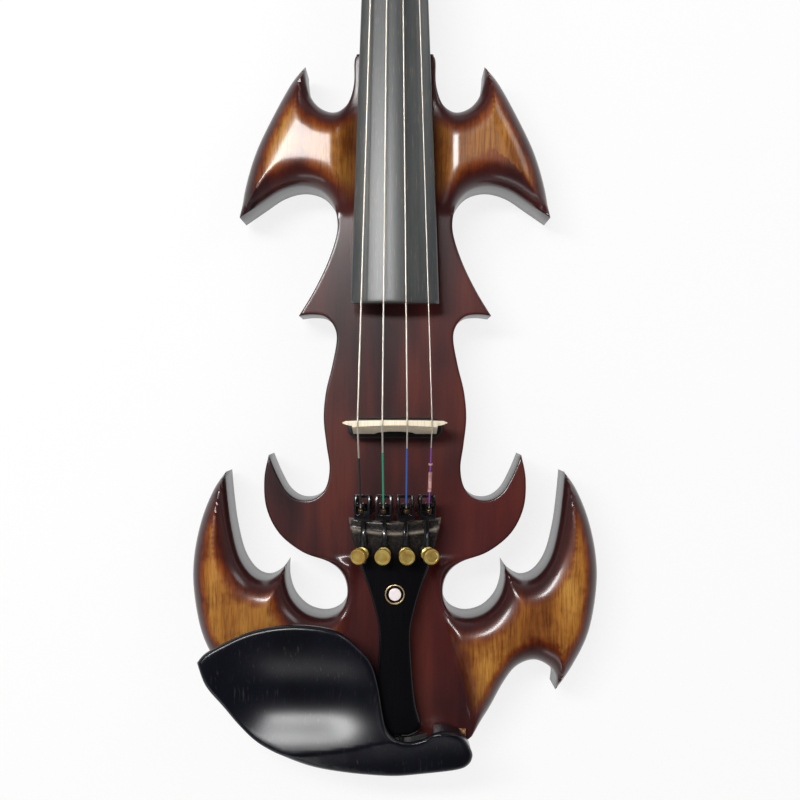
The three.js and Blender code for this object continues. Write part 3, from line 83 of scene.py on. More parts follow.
hook_run = [(0.793, 0.922), (0.796, 0.903), (0.759, 0.887), (0.685, 0.878), (0.601, 0.887),
            (0.537, 0.91), (0.463, 0.949), (0.379, 0.987)]
tail_run = [(0.379, 0.987), (0.33, 0.995), (0.172, 1), (0, 1)]
body_runs = [block_run, upper_wing_run, waist_run, flank_run, inner_horn_run, valley_run,
             lower_wing_run, hook_run, tail_run]


def row(x, y, z):
    """A place in mm, counted from under the bridge crown, as metres in the row's frame."""
    return Vector((x, y + bridge_line, z)) * millimetre


def flowing(points, steps):
    """A smooth line through points, with that many short steps in each span."""
    places = [np.array(point, dtype=float) for point in points]
    line = []
    for index in range(len(places) - 1):
        before = places[max(index - 1, 0)]
        start, end = places[index], places[index + 1]
        after = places[min(index + 2, len(places) - 1)]
        leave, arrive = (end - before) / 2, (after - start) / 2
        for step in range(steps):
            t = step / steps
            line.append((2 * start - 2 * end + leave + arrive) * t ** 3
                        + (3 * end - 3 * start - 2 * leave - arrive) * t ** 2 + leave * t + start)
    return line + [places[-1]]


def smooth_step(value):
    t = np.clip(value, 0, 1)
    return t * t * (3 - 2 * t)


def body_outline(steps):
    half = []
    for run in body_runs:
        places = [(across * body_width / 2, upper_edge - down * body_length) for across, down in run]
        half += flowing(places, steps)[:-1]
    half.append(np.array([0.0, tail_edge]))
    left = [np.array([-x, y]) for x, y in reversed(half[1:-1])]
    return np.array((half + left)[::-1])


def edge_distance(points, outline):
    """How far each point lies from the outline, in mm."""
    starts = outline
    runs = np.roll(outline, -1, axis=0) - outline
    lengths = (runs ** 2).sum(axis=1) + 1e-12
    least = np.full(len(points), 1e9)
    for start, run, length in zip(starts, runs, lengths):
        share = np.clip(((points - start) @ run) / length, 0, 1)
        away = points - start - share[:, None] * run
        least = np.minimum(least, np.einsum("ij,ij->i", away, away))
    return np.sqrt(least)


def inside(points, outline):
    """Which points lie within a closed outline."""
    found = np.zeros(len(points), dtype=bool)
    ends = np.roll(outline, -1, axis=0)
    for (x0, y0), (x1, y1) in zip(outline, ends):
        if y0 == y1:
            continue
        crosses = (points[:, 1] < y0) != (points[:, 1] < y1)
        at = x0 + (points[:, 1] - y0) * (x1 - x0) / (y1 - y0)
        found ^= crosses & (points[:, 0] < at)
    return found


def wing_share(points):
    """1 on the carved wings and 0 on the flat middle of the body."""
    across = np.abs(points[:, 0])
    down = (upper_edge - points[:, 1]) / body_length
    side = smooth_step((across - 18) / 13)
    above = smooth_step((0.215 - down) * body_length / crease_width + 1)
    fall = smooth_step((down - 0.725) / 0.275)
    crease = (0.17 + 0.2 * fall) * body_width / 2
    lower = smooth_step((across - crease) / crease_width)
    lower *= smooth_step((down - 0.725) * body_length / crease_width)
    horn = smooth_step((across - 0.66 * body_width / 2) / crease_width) * (down > 0.55)
    return np.maximum(np.maximum(side * above, lower), horn)


def amber_share(points):
    """1 where the stain is rubbed back to amber: the wings, up to the fingerboard's edge."""
    across, y = np.abs(points[:, 0]), points[:, 1]
    down = (upper_edge - y) / body_length
    upper = smooth_step((0.23 - down) * body_length / 22) * (0.3 + 0.7 * smooth_step((across - 17) / 15))
    crease = 15 + 21 * smooth_step((down - 0.725) / 0.275)
    lower = smooth_step((across - crease) / 16) * smooth_step((down - 0.73) * body_length / 12)
    horn = smooth_step((across - 66) / 7) * (down > 0.55)
    return np.maximum(np.maximum(upper, lower), horn)


def body_height(points, distance):
    wing = wing_share(points)
    dome = np.sqrt(1 - (1 - np.minimum(distance / edge_round, 1)) ** 2)
    rim = 1 - np.minimum(distance / panel_edge, 1)
    flat = -panel_edge * (1 - np.sqrt(np.maximum(1 - rim ** 2, 0)))
    return body_top + wing * ((edge_drop + wing_bulge) * dome - edge_drop) + (1 - wing) * flat


def plan_points(outline, spacing, insets, more=()):
    """The outline, rows of points just inside it, chosen points and an even grid over the rest."""
    following = np.roll(outline, -1, axis=0) - np.roll(outline, 1, axis=0)
    normals = np.stack([-following[:, 1], following[:, 0]], axis=1)
    normals /= np.linalg.norm(normals, axis=1)[:, None] + 1e-12
    area = np.sum(outline[:, 0] * np.roll(outline[:, 1], -1) - outline[:, 1] * np.roll(outline[:, 0], -1))
    normals *= 1 if area > 0 else -1
    kept = [outline, *more]
    for inset in insets:
        points = outline + normals * inset
        true = np.abs(edge_distance(points, outline) - inset) < inset * 0.06
        points = points[true & inside(points, outline)]
        spaced = [points[0]]
        for point in points[1:]:
            if np.hypot(*(point - spaced[-1])) > 0.35 + inset * 0.3:
                spaced.append(point)
        kept.append(np.array(spaced))
    low, high = outline.min(axis=0), outline.max(axis=0)
    xs = np.arange(low[0], high[0], spacing)
    ys = np.arange(low[1], high[1], spacing * 0.866)
    grid = np.array([(x + (index % 2) * spacing / 2, y) for index, y in enumerate(ys) for x in xs])
    grid = grid[inside(grid, outline)]
    grid = grid[edge_distance(grid, outline) > insets[-1] + spacing * 0.5]
    kept.append(grid)
    return np.concatenate(kept), len(outline)


def carved_board(name, outline, spacing, insets, top_at, bottom_at, more=()):
    """A closed board with this outline, whose two faces follow their own height rules."""
    points, rim = plan_points(outline, spacing, insets, more)
    loop = [list(range(rim))]
    places, _, faces, *_ = delaunay_2d_cdt([Vector(p) for p in points], [], loop, 1, 1e-5)
    plan = np.array([tuple(p) for p in places])
    count = len(plan)
    tops, bottoms = top_at(plan), bottom_at(plan)
    corners = [row(x, y, z) for (x, y), z in zip(plan, tops)]
    corners += [row(x, y, z) for (x, y), z in zip(plan, bottoms)]
    sides = []
    for index in range(rim):
        following = (index + 1) % rim
        sides.append((index, index + count, following + count, following))
    skin = [tuple(face) for face in faces] + [tuple(v + count for v in reversed(face)) for face in faces]
    mesh = bpy.data.meshes.new(name)
    mesh.from_pydata(corners, [], skin + sides)
    piece = bpy.data.objects.new(name, mesh)
    bpy.context.collection.objects.link(piece)
    choose(piece)
    bpy.ops.object.mode_set(mode="EDIT")
    bpy.ops.mesh.select_all(action="SELECT")
    bpy.ops.mesh.remove_doubles(threshold=1e-6)
    bpy.ops.mesh.normals_make_consistent(inside=False)
    bpy.ops.object.mode_set(mode="OBJECT")
    return piece


def choose(*pieces):
    """Selects these objects alone, the last one active."""
    bpy.ops.object.select_all(action="DESELECT")
    for piece in pieces:
        piece.select_set(True)
    bpy.context.view_layer.objects.active = pieces[-1]


def settle(piece):
    """Moves an object's place into its mesh, so that it sits at the origin."""
    choose(piece)
    bpy.ops.object.transform_apply(location=True, rotation=True, scale=True)
    return piece


def block(name, low, high):
    """A box between two corners in mm."""
    bpy.ops.object.select_all(action="DESELECT")
    bpy.ops.mesh.primitive_cube_add(size=1)
    piece = bpy.context.active_object
    piece.name = name
    low, high = row(*low), row(*high)
    piece.location = (low + high) / 2
    piece.scale = [abs(side) for side in high - low]
    return settle(piece)


def rod(name, start, end, radius, sides=48):
    """A round bar in mm from one point to another."""
    bpy.ops.object.select_all(action="DESELECT")
    start, end = row(*start), row(*end)
    run = end - start
    bpy.ops.mesh.primitive_cylinder_add(vertices=sides, radius=radius * millimetre, depth=run.length)
    piece = bpy.context.active_object
    piece.name = name
    piece.location = (start + end) / 2
    piece.rotation_euler = run.to_track_quat("Z", "Y").to_euler()
    return settle(piece)


def carve(piece, *tools):
    """Cuts the tools out of a piece and throws them away."""
    for tool in tools:
        cut = piece.modifiers.new("cut", "BOOLEAN")
        cut.operation, cut.object, cut.solver = "DIFFERENCE", tool, "EXACT"
        choose(piece)
        bpy.ops.object.modifier_apply(modifier=cut.name)
        bpy.data.objects.remove(tool)
    return piece


def shade(piece, angle=35):
    """Smooth shading up to this angle between faces, sharp past it."""
    choose(piece)
    bpy.ops.object.shade_smooth_by_angle(angle=radians(angle))
    return piece


outline = body_outline(6)
back_round = 1.2


def body_bottom(points):
    near = np.clip(1 - edge_distance(points, outline) / back_round, 0, 1)
    return body_back + back_round * (1 - np.sqrt(1 - near ** 2))


body = carved_board("violin_body", outline, 1.5, [0.12, 0.4, 0.9, 1.7, 2.8],
                    lambda p: body_height(p, edge_distance(p, outline)), body_bottom)
plate_tail, plate_head, plate_inset = -68, 18, 9
jack_line, jack_level = 3, body_back + 17
carve(body,
      block("plate_recess", (-25.3, plate_tail - 0.3, -4), (25.3, plate_head + 0.3, body_back + 10.5)),
      block("door_seat", (-32.5, -135.2, -4), (32.5, -98.8, body_back + 2.1)),
      block("battery_pocket", (-29.3, -131.9, 0), (29.3, -102.1, body_back + 21.2)),
      rod("hinge_seat", (-32.5, -99.1, body_back + 1.4), (32.5, -99.1, body_back + 1.4), 2),
      rod("jack_bore", (4, jack_line, jack_level), (50, jack_line, jack_level), 5.9),
      rod("jack_dish", (32.1, jack_line, jack_level), (60, jack_line, jack_level), 8.6))
shade(body, 38)

amber_mark = body.data.attributes.new("amber", "FLOAT", "POINT")
edge_mark = body.data.attributes.new("edge", "FLOAT", "POINT")
shape = np.empty(len(body.data.vertices) * 3)
body.data.vertices.foreach_get("co", shape)
plan = shape.reshape(-1, 3)[:, :2] / millimetre - (0, bridge_line)
amber_mark.data.foreach_set("value", amber_share(plan))
reach = edge_distance(plan, outline)
front = (reach > 0) & (reach < 25) & (amber_share(plan) > 0)
lean = [(reach[front] - edge_distance(plan[front] + shift, outline)) / 0.5 for shift in ((0.5, 0), (0, 0.5))]
reach[front] *= 1 + 0.7 * np.clip(lean[0] * np.sign(plan[front, 0]), 0, 1) - 0.3 * np.clip(-lean[1], 0, 1) * (plan[front, 1] > 60)
edge_mark.data.foreach_set("value", np.minimum(reach / 20, 1))


def srgb(red, green, blue):
    """A colour from 0 to 255 as the linear values that a shader takes."""
    linear = [((c / 255 + 0.055) / 1.055) ** 2.4 if c > 10 else c / 255 / 12.92 for c in (red, green, blue)]
    return (*linear, 1.0)


def add(tree, kind, settings=None, **inputs):
    """A shader node, its settings and its inputs, which are plain values or other nodes' outputs."""
    node = tree.nodes.new(kind)
    for name, value in (settings or {}).items():
        setattr(node, name, value)
    for name, value in inputs.items():
        socket = node.inputs[int(name[1:])] if name[0] == "_" and name[1:].isdigit() else node.inputs[name.replace("_", " ")]
        if isinstance(value, bpy.types.NodeSocket):
            tree.links.new(value, socket)
        else:
            socket.default_value = value
    return node


def ramp(tree, value, *stops):
    """A colour ramp over a value: each stop is a place from 0 to 1 and a colour."""
    node = add(tree, "ShaderNodeValToRGB", Fac=value)
    marks = node.color_ramp.elements
    while len(marks) < len(stops):
        marks.new(0.5)
    for mark, (place, colour) in zip(marks, stops):
        mark.position, mark.color = place, colour
    return node.outputs["Color"]


def mix(tree, share, first, second, blend="MIX"):
    node = add(tree, "ShaderNodeMix", {"data_type": "RGBA", "blend_type": blend})
    for socket, value in ((node.inputs[0], share), (node.inputs[6], first), (node.inputs[7], second)):
        if isinstance(value, bpy.types.NodeSocket):
            tree.links.new(value, socket)
        else:
            socket.default_value = value
    return node.outputs[2]


def measure(tree, operation, *values):
    node = add(tree, "ShaderNodeMath", {"operation": operation})
    for socket, value in zip(node.inputs, values):
        if isinstance(value, bpy.types.NodeSocket):
            tree.links.new(value, socket)
        else:
            socket.default_value = value
    return node.outputs[0]


def finish_of(name, **values):
    """A new material with its surface shader set to these values; returns its tree and shader."""
    material = bpy.data.materials.new(name)
    material.use_nodes = True
    shader = material.node_tree.nodes["Principled BSDF"]
    for socket, value in values.items():
        shader.inputs[socket.replace("_", " ")].default_value = value
    return material, material.node_tree, shader


def dress(piece, material, *nodes, body_name="root", slot_name=None):
    """Gives a piece its only material, sets which body it rides on, and hides the CAD nodes named."""
    piece.data.materials.clear()
    piece.data.materials.append(material)
    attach(piece, body_name)
    if nodes:
        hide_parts(*nodes)
    return piece


def new_group(name, inputs, outputs):
    """A shader node group with these named sockets; returns its tree and its two end nodes."""
    tree = bpy.data.node_groups.new(name, "ShaderNodeTree")
    for label, kind, value in inputs:
        socket = tree.interface.new_socket(label, in_out="INPUT", socket_type=kind)
        if value is not None:
            socket.default_value = value
    for label, kind in outputs:
        tree.interface.new_socket(label, in_out="OUTPUT", socket_type=kind)
    return tree, tree.nodes.new("NodeGroupInput"), tree.nodes.new("NodeGroupOutput")


number, vector, colour = "NodeSocketFloat", "NodeSocketVector", "NodeSocketColor"
grain_group, given, made = new_group(
    "straight grain along the instrument",
    [("Width", number, 1.0), ("Waver", number, 1.0)],
    [("Bands", number), ("Streaks", number), ("Pores", number)])
place = add(grain_group, "ShaderNodeTexCoord").outputs["Object"]
sway = add(grain_group, "ShaderNodeTexNoise", Vector=place, Scale=9.0, Detail=2.0).outputs["Fac"]
swayed = measure(grain_group, "MULTIPLY", measure(grain_group, "SUBTRACT", sway, 0.5), given.outputs["Waver"])
split = add(grain_group, "ShaderNodeSeparateXYZ", Vector=place)
across = measure(grain_group, "ADD", split.outputs["X"], measure(grain_group, "MULTIPLY", swayed, 0.012))
across = measure(grain_group, "MULTIPLY", across, given.outputs["Width"])
for label, dense, long, deep, detail in (("Bands", 46.0, 11.0, 30.0, 2.0), ("Streaks", 900.0, 48.0, 420.0, 4.0),
                                         ("Pores", 1700.0, 90.0, 900.0, 2.0)):
    placed = add(grain_group, "ShaderNodeCombineXYZ", X=measure(grain_group, "MULTIPLY", across, dense),
                 Y=measure(grain_group, "MULTIPLY", split.outputs["Y"], long),
                 Z=measure(grain_group, "MULTIPLY", split.outputs["Z"], deep)).outputs[0]
    noise = add(grain_group, "ShaderNodeTexNoise", Vector=placed, Scale=1.0, Detail=detail, Roughness=0.62)
    grain_group.links.new(noise.outputs["Fac"], made.inputs[label])


def grain(tree, width=1.0, waver=1.0):
    node = add(tree, "ShaderNodeGroup", {"node_tree": grain_group}, Width=width, Waver=waver)
    return node.outputs["Bands"], node.outputs["Streaks"], node.outputs["Pores"]


lacquer, tree, shader = finish_of("burst lacquer over carved hardwood", Coat_Roughness=0.17, Specular_IOR_Level=0.3)
bands, streaks, pores = grain(tree)
stain = add(tree, "ShaderNodeAttribute", {"attribute_name": "amber"}).outputs["Fac"]
edge = add(tree, "ShaderNodeAttribute", {"attribute_name": "edge"}).outputs["Fac"]
amber = ramp(tree, bands, (0.32, srgb(126, 72, 24)), (0.5, srgb(164, 106, 40)), (0.68, srgb(190, 138, 62)))
fine = ramp(tree, streaks, (0.3, (0.36, 0.27, 0.2, 1)), (0.47, (0.84, 0.8, 0.76, 1)), (0.6, (1, 1, 1, 1)))
amber = mix(tree, 0.8, amber, fine, "MULTIPLY")
pits = ramp(tree, pores, (0.36, (0.5, 0.42, 0.34, 1)), (0.5, (1, 1, 1, 1)))
amber = mix(tree, 0.6, amber, pits, "MULTIPLY")
place = add(tree, "ShaderNodeTexCoord").outputs["Object"]
patches = add(tree, "ShaderNodeTexNoise", Vector=place, Scale=85.0, Detail=3.0, Roughness=0.6).outputs["Fac"]
blotches = ramp(tree, patches, (0.34, (0.62, 0.5, 0.42, 1)), (0.54, (1, 1, 1, 1)))
amber = mix(tree, 0.8, amber, blotches, "MULTIPLY")
uneven = measure(tree, "ADD", measure(tree, "MULTIPLY", bands, 0.25), measure(tree, "MULTIPLY", patches, 0.5))
spread = measure(tree, "ADD", edge, measure(tree, "SUBTRACT", measure(tree, "MULTIPLY", uneven, edge), 0.02))
spread = measure(tree, "SUBTRACT", spread, measure(tree, "MULTIPLY", edge, 0.375))
burst = ramp(tree, spread, (0.1, srgb(70, 34, 30)), (0.28, srgb(128, 68, 36)), (0.46, srgb(202, 152, 96)),
             (0.66, (1, 1, 1, 1)))
stained = mix(tree, 1.0, amber, burst, "MULTIPLY")
reached = ramp(tree, spread, (0.08, (0, 0, 0, 1)), (0.4, (1, 1, 1, 1)))
maroon = mix(tree, bands, srgb(42, 18, 20), srgb(66, 28, 26))
stained = mix(tree, reached, maroon, stained)
middle = ramp(tree, bands, (0.34, srgb(38, 16, 20)), (0.5, srgb(60, 27, 28)), (0.66, srgb(86, 38, 31)))
middle = mix(tree, 0.4, middle, fine, "MULTIPLY")
clouds = add(tree, "ShaderNodeTexNoise", Vector=place, Scale=16.0, Detail=2.0).outputs["Fac"]
glow = ramp(tree, clouds, (0.44, (0, 0, 0, 1)), (0.7, (0.4, 0.4, 0.4, 1)))
middle = mix(tree, glow, middle, srgb(92, 22, 14))
whole = mix(tree, ramp(tree, stain, (0.05, (0, 0, 0, 1)), (0.95, (1, 1, 1, 1))), middle, stained)
# The side walls and the outermost millimetre of the top are darkened to a deep grey-brown.
darker_walls = ramp(tree, edge, (0.0, srgb(52, 40, 42)), (0.04, (1, 1, 1, 1)))
whole = mix(tree, 1.0, whole, darker_walls, "MULTIPLY")
tree.links.new(whole, shader.inputs["Base Color"])
tree.links.new(ramp(tree, edge, (0.0, (0.4, 0.4, 0.4, 1)), (0.02, (0.32, 0.32, 0.32, 1))), shader.inputs["Roughness"])
tree.links.new(ramp(tree, edge, (0.0, (0.35, 0.35, 0.35, 1)), (0.02, (0.6, 0.6, 0.6, 1))), shader.inputs["Coat Weight"])
bump = add(tree, "ShaderNodeBump", Height=streaks, Strength=0.06, Distance=0.0002)
tree.links.new(bump.outputs[0], shader.inputs["Normal"])
dress(body, lacquer, "body", slot_name="body_lacquer")

# Fingerboard and nut
# A board of oiled black ebony, arched across for the bow and thinned towards the nut, glued on
# the neck and reaching free over the body. The nut is a small ebony block that spaces the strings.
string_length = 328
crown_height = 33
arc_radius = 42
board_end, board_end_width, board_nut_width = 57, 42.5, 24
nut_face, neck_end = string_length, string_length + 6


def arc_drop(across):
    return arc_radius - np.sqrt(arc_radius ** 2 - across ** 2)


def board_top(y):
    return body_top + 27 + (7 - 27) * y / string_length


def board_half(y):
    return (board_end_width + (board_nut_width - board_end_width) * (y - board_end) / (nut_face - board_end)) / 2


def board_bottom(y):
    at_end = board_top(board_end) - arc_drop(board_half(board_end)) - 5
    at_nut = board_top(nut_face) - arc_drop(board_half(nut_face)) - 5
    return at_end + (at_nut - at_end) * (y - board_end) / (nut_face - board_end)


def rounded_edge(distance, radius):
    """How far a face falls at its rim where it is rounded over this radius."""
    rim = 1 - np.clip(distance / radius, 0, 1)
    return radius * (1 - np.sqrt(1 - rim ** 2))


def along_line(corners, spacing):
    """A closed outline through these corners with points this far apart."""
    points = []
    for start, end in zip(corners, corners[1:] + corners[:1]):
        start, end = np.array(start, dtype=float), np.array(end, dtype=float)
        count = max(1, round(np.hypot(*(end - start)) / spacing))
        points += [start + (end - start) * step / count for step in range(count)]
    return np.array(points)


def board_face(points, plan):
    return (board_top(points[:, 1]) - arc_drop(points[:, 0])
            - rounded_edge(edge_distance(points, plan), 0.8))


board_plan = along_line([(-board_half(board_end), board_end), (board_half(board_end), board_end),
                         (board_half(nut_face), nut_face - 0.3), (-board_half(nut_face), nut_face - 0.3)], 2.5)
fingerboard = carved_board("ebony_fingerboard", board_plan, 2.5, [0.15, 0.45, 0.9],
                           lambda p: board_face(p, board_plan),
                           lambda p: board_bottom(p[:, 1]) + rounded_edge(edge_distance(p, board_plan), 0.5))
shade(fingerboard, 40)

ebony, tree, shader = finish_of("oiled black ebony", Roughness=0.38, Coat_Weight=0.45, Coat_Roughness=0.32)
bands, streaks, pores = grain(tree, 1.2, 0.3)
tone = ramp(tree, bands, (0.35, srgb(50, 54, 55)), (0.6, srgb(64, 66, 64)), (0.75, srgb(74, 72, 64)))
fine = ramp(tree, streaks, (0.34, (0.7, 0.7, 0.7, 1)), (0.5, (1, 1, 1, 1)))
tone = mix(tree, 0.7, tone, fine, "MULTIPLY")
flecks = ramp(tree, pores, (0.6, (0, 0, 0, 1)), (0.72, (0.5, 0.5, 0.5, 1)))
tree.links.new(mix(tree, flecks, tone, srgb(112, 98, 84)), shader.inputs["Base Color"])
bump = add(tree, "ShaderNodeBump", Height=pores, Strength=0.12, Distance=0.0002)
tree.links.new(bump.outputs[0], shader.inputs["Normal"])
dress(fingerboard, ebony, "fingerboard", slot_name="ebony")


def refined(node, name, bevel=0.3, angle=30, segments=2):
    """A copy of a CAD node with merged corners, clean flat faces and rounded edges."""
    bpy.ops.object.select_all(action="DESELECT")
    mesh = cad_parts[node].data.copy()
    mesh.materials.clear()
    piece = bpy.data.objects.new(name, mesh)
    bpy.context.collection.objects.link(piece)
    choose(piece)
    bpy.ops.object.mode_set(mode="EDIT")
    bpy.ops.mesh.select_all(action="SELECT")
    bpy.ops.mesh.remove_doubles(threshold=2e-6)
    bpy.ops.mesh.dissolve_limited(angle_limit=radians(2))
    bpy.ops.object.mode_set(mode="OBJECT")
    if bevel:
        rounding = piece.modifiers.new("rounding", "BEVEL")
        rounding.width, rounding.segments = bevel * millimetre, segments
        rounding.limit_method, rounding.angle_limit = "ANGLE", radians(angle)
        bpy.ops.object.modifier_apply(modifier=rounding.name)
    return shade(piece, angle)


dress(refined("nut", "ebony_nut", 0.4), ebony, "nut", slot_name="ebony")

# Bridge and its pickup
# A boat-shaped bridge of plain unvarnished maple, thin at the crown and wider than a usual one,
# pierced by a row of small round holes. It stands on a black bar that senses the strings.
maple, tree, shader = finish_of("plain bridge maple", Roughness=0.55)
bands, streaks, pores = grain(tree, 2.0, 0.3)
tone = ramp(tree, streaks, (0.3, srgb(220, 204, 174)), (0.5, srgb(236, 222, 196)), (0.7, srgb(243, 232, 208)))
tree.links.new(tone, shader.inputs["Base Color"])


def plan_prism(name, plan, low, high):
    """A straight-sided block over a plan in mm, between two heights."""
    count = len(plan)
    corners = [row(x, y, z) for z in (low, high) for x, y in plan]
    faces = [tuple(range(count))[::-1], tuple(range(count, 2 * count))]
    faces += [(i, (i + 1) % count, (i + 1) % count + count, i + count) for i in range(count)]
    mesh = bpy.data.meshes.new(name)
    mesh.from_pydata(corners, [], faces)
    piece = bpy.data.objects.new(name, mesh)
    bpy.context.collection.objects.link(piece)
    choose(piece)
    bpy.ops.object.mode_set(mode="EDIT")
    bpy.ops.mesh.select_all(action="SELECT")
    bpy.ops.mesh.normals_make_consistent(inside=False)
    bpy.ops.object.mode_set(mode="OBJECT")
    return piece


bow = [(20.2, 1.5), (21.6, 1.22), (23, 0.9), (24.2, 0.5), (24.8, 0.2), (24.95, 0), (27, 0), (27, 6), (20.2, 6)]
ends = [plan_prism("bow_cut", [(x * side, y * face) for x, y in bow], body_top + 8, body_top + crown_height + 4)
        for side in (-1, 1) for face in (-1, 1)]
bridge = carve(refined("bridge", "maple_bridge", 0.35, 40, 3), *ends)
dress(shade(bridge, 35), maple, "bridge", slot_name="bridge_maple")

black_plastic, tree, shader = finish_of("satin black plastic", Base_Color=srgb(20, 20, 22), Roughness=0.38)
mottle = add(tree, "ShaderNodeTexNoise", Vector=add(tree, "ShaderNodeTexCoord").outputs["Object"], Scale=900.0).outputs["Fac"]
tree.links.new(ramp(tree, mottle, (0.3, (0.3, 0.3, 0.3, 1)), (0.7, (0.46, 0.46, 0.46, 1))), shader.inputs["Roughness"])
dress(refined("bridge_pickup", "pickup_bar", 0.8, 40, 3), black_plastic, "bridge_pickup", slot_name="black_plastic")

# Strings
# Four wound steel strings, thickest at the bass side. Each runs from its fine tuner over the
# bridge and the nut to its peg, with coloured silk on the tail end and a sleeve on the thinnest.
string_names = ["g", "d", "a", "e"]
string_diameters = [0.8, 0.75, 0.7, 0.5]
tailpiece_tail = tail_edge + 6 + 1.3
tailpiece_front = tailpiece_tail + 106
tailpiece_width = 44.5
tuner_line = tailpiece_front - 16


def tailpiece_face(x, y):
    share = (tailpiece_front - y) / 106
    return body_top + 18 - 6 * share - 3.4 * (2 * x / tailpiece_width) ** 2 * (1 + 1.5 * share)


def tuner_place(index):
    """How a fine tuner stands on the tailpiece: turns its own mm into a place in mm."""
    x = (index - 1.5) * 9.4
    turn = Matrix.Rotation(radians((index - 1.5) * 11), 4, "Y") @ Matrix.Rotation(radians(8), 4, "X")
    return Matrix.Translation((x, tuner_line, tailpiece_face(x, tuner_line))) @ turn


def cord_through(name, points, radius, sides=10):
    """A round cord in mm through these places."""
    curve = bpy.data.curves.new(name, "CURVE")
    curve.dimensions = "3D"
    line = curve.splines.new("POLY")
    line.points.add(len(points) - 1)
    for point, place in zip(line.points, points):
        point.co = (*row(*place), 1)
    curve.bevel_depth = radius * millimetre
    curve.bevel_resolution = sides // 2 - 2
    curve.use_fill_caps = True
    piece = bpy.data.objects.new(name, curve)
    bpy.context.collection.objects.link(piece)
    choose(piece)
    bpy.ops.object.convert(target="MESH")
    bpy.ops.object.shade_smooth()
    return piece


def peg_place(string):
    order = ["g", "e", "d", "a"].index(string)
    y = neck_end + 15 + order * 14.4
    pegbox_top = board_bottom(neck_end) - 0.3
    return y, pegbox_top * (1 - 0.2 - 0.11 * order), -1 if order % 2 == 0 else 1


def pegbox_half(y):
    return (board_nut_width + (19 - board_nut_width) * (y - neck_end) / 70) / 2


steel, tree, shader = finish_of("wound steel string", Base_Color=srgb(222, 214, 200), Metallic=0.85, Roughness=0.3)
wound = add(tree, "ShaderNodeTexWave", {"bands_direction": "Y"}, Scale=900.0,
            Vector=add(tree, "ShaderNodeTexCoord").outputs["Object"]).outputs["Fac"]
bump = add(tree, "ShaderNodeBump", Height=wound, Strength=0.3, Distance=0.00005)
tree.links.new(bump.outputs[0], shader.inputs["Normal"])
ball_bronze, tree, shader = finish_of("dark bronze ball", Metallic=1.0, Roughness=0.35)
dull = add(tree, "ShaderNodeTexNoise", Vector=add(tree, "ShaderNodeTexCoord").outputs["Object"], Scale=1500.0).outputs["Fac"]
tree.links.new(ramp(tree, dull, (0.35, srgb(58, 48, 36)), (0.65, srgb(96, 80, 58))), shader.inputs["Base Color"])
silk_colours = {"g": srgb(22, 22, 26), "d": srgb(36, 138, 108), "a": srgb(44, 86, 165), "e": srgb(120, 66, 150)}
silk_length = {"g": 22, "d": 25, "a": 27, "e": 27}
for index, name in enumerate(string_names):
    radius = string_diameters[index] / 2
    at_bridge, at_nut = (index - 1.5) * 35 / 3, (index - 1.5) * 16.5 / 3
    place = tuner_place(index)
    hook_level = 6 - 0.3 - 1.3
    ball, hook = place @ Vector((0, 20.63, hook_level)), place @ Vector((0, 23.9, hook_level))
    bridge_level = body_top + crown_height - arc_drop(at_bridge)
    nut_level = board_top(nut_face) + 1 - arc_drop(at_nut) + 0.7
    y, z, side = peg_place(name)
    x = (-1 if index < 2 else 1) * (pegbox_half(y) - 4.6) * 0.72
    drop = 3.6 + 0.3 + radius
    line = [tuple(ball), tuple(hook), (at_bridge, -1.2, bridge_level - 0.1), (at_bridge, 1.2, bridge_level),
            (at_nut, nut_face, nut_level), (at_nut, neck_end + 0.3, nut_level - 0.4), (x, y - radius, z + drop)]
    line += [(x, y + drop * sin(pi / 2 * step / 6), z + drop * cos(pi / 2 * step / 6)) for step in range(1, 7)]
    string = cord_through(f"{name}_string", line, radius)
    dress(string, steel, f"string_{name}", slot_name="string")
    bpy.ops.object.select_all(action="DESELECT")
    bpy.ops.mesh.primitive_uv_sphere_add(segments=24, ring_count=14, radius=1.5 * millimetre, location=row(*ball))
    end = settle(bpy.context.active_object)
    end.name = f"{name}_ball"
    dress(shade(end, 60), ball_bronze, slot_name="string")
    silk, tree, shader = finish_of(f"{name} string silk", Roughness=0.6)
    twist = add(tree, "ShaderNodeTexWave", {"bands_direction": "Y"}, Scale=420.0, Distortion=0.4,
                Vector=add(tree, "ShaderNodeTexCoord").outputs["Object"]).outputs["Fac"]
    dim = tuple(0.55 * value for value in silk_colours[name][:3]) + (1,)
    tree.links.new(mix(tree, twist, dim, silk_colours[name]), shader.inputs["Base Color"])
    start = hook + (Vector(line[2]) - hook).normalized() * 0.3
    finish = start + (Vector(line[2]) - hook).normalized() * silk_length[name]
    wrap = cord_through(f"{name}_silk", [tuple(start), tuple(finish)], radius + 0.12)
    dress(wrap, silk, slot_name="string")

sleeve, tree, shader = finish_of("pale pink plastic sleeve", Roughness=0.35)
cloud = add(tree, "ShaderNodeTexNoise", Vector=add(tree, "ShaderNodeTexCoord").outputs["Object"], Scale=600.0).outputs["Fac"]
tree.links.new(ramp(tree, cloud, (0.35, srgb(150, 106, 106)), (0.65, srgb(196, 158, 152))), shader.inputs["Base Color"])
run = (Vector(line[2]) - hook).normalized()
dress(cord_through("e_sleeve", [tuple(hook + run * 6), tuple(hook + run * 15.5)], 0.85), sleeve, slot_name="string")
dress(cord_through("e_ring", [tuple(hook + run * 19), tuple(hook + run * 19.8)], 1.0), sleeve, slot_name="string")

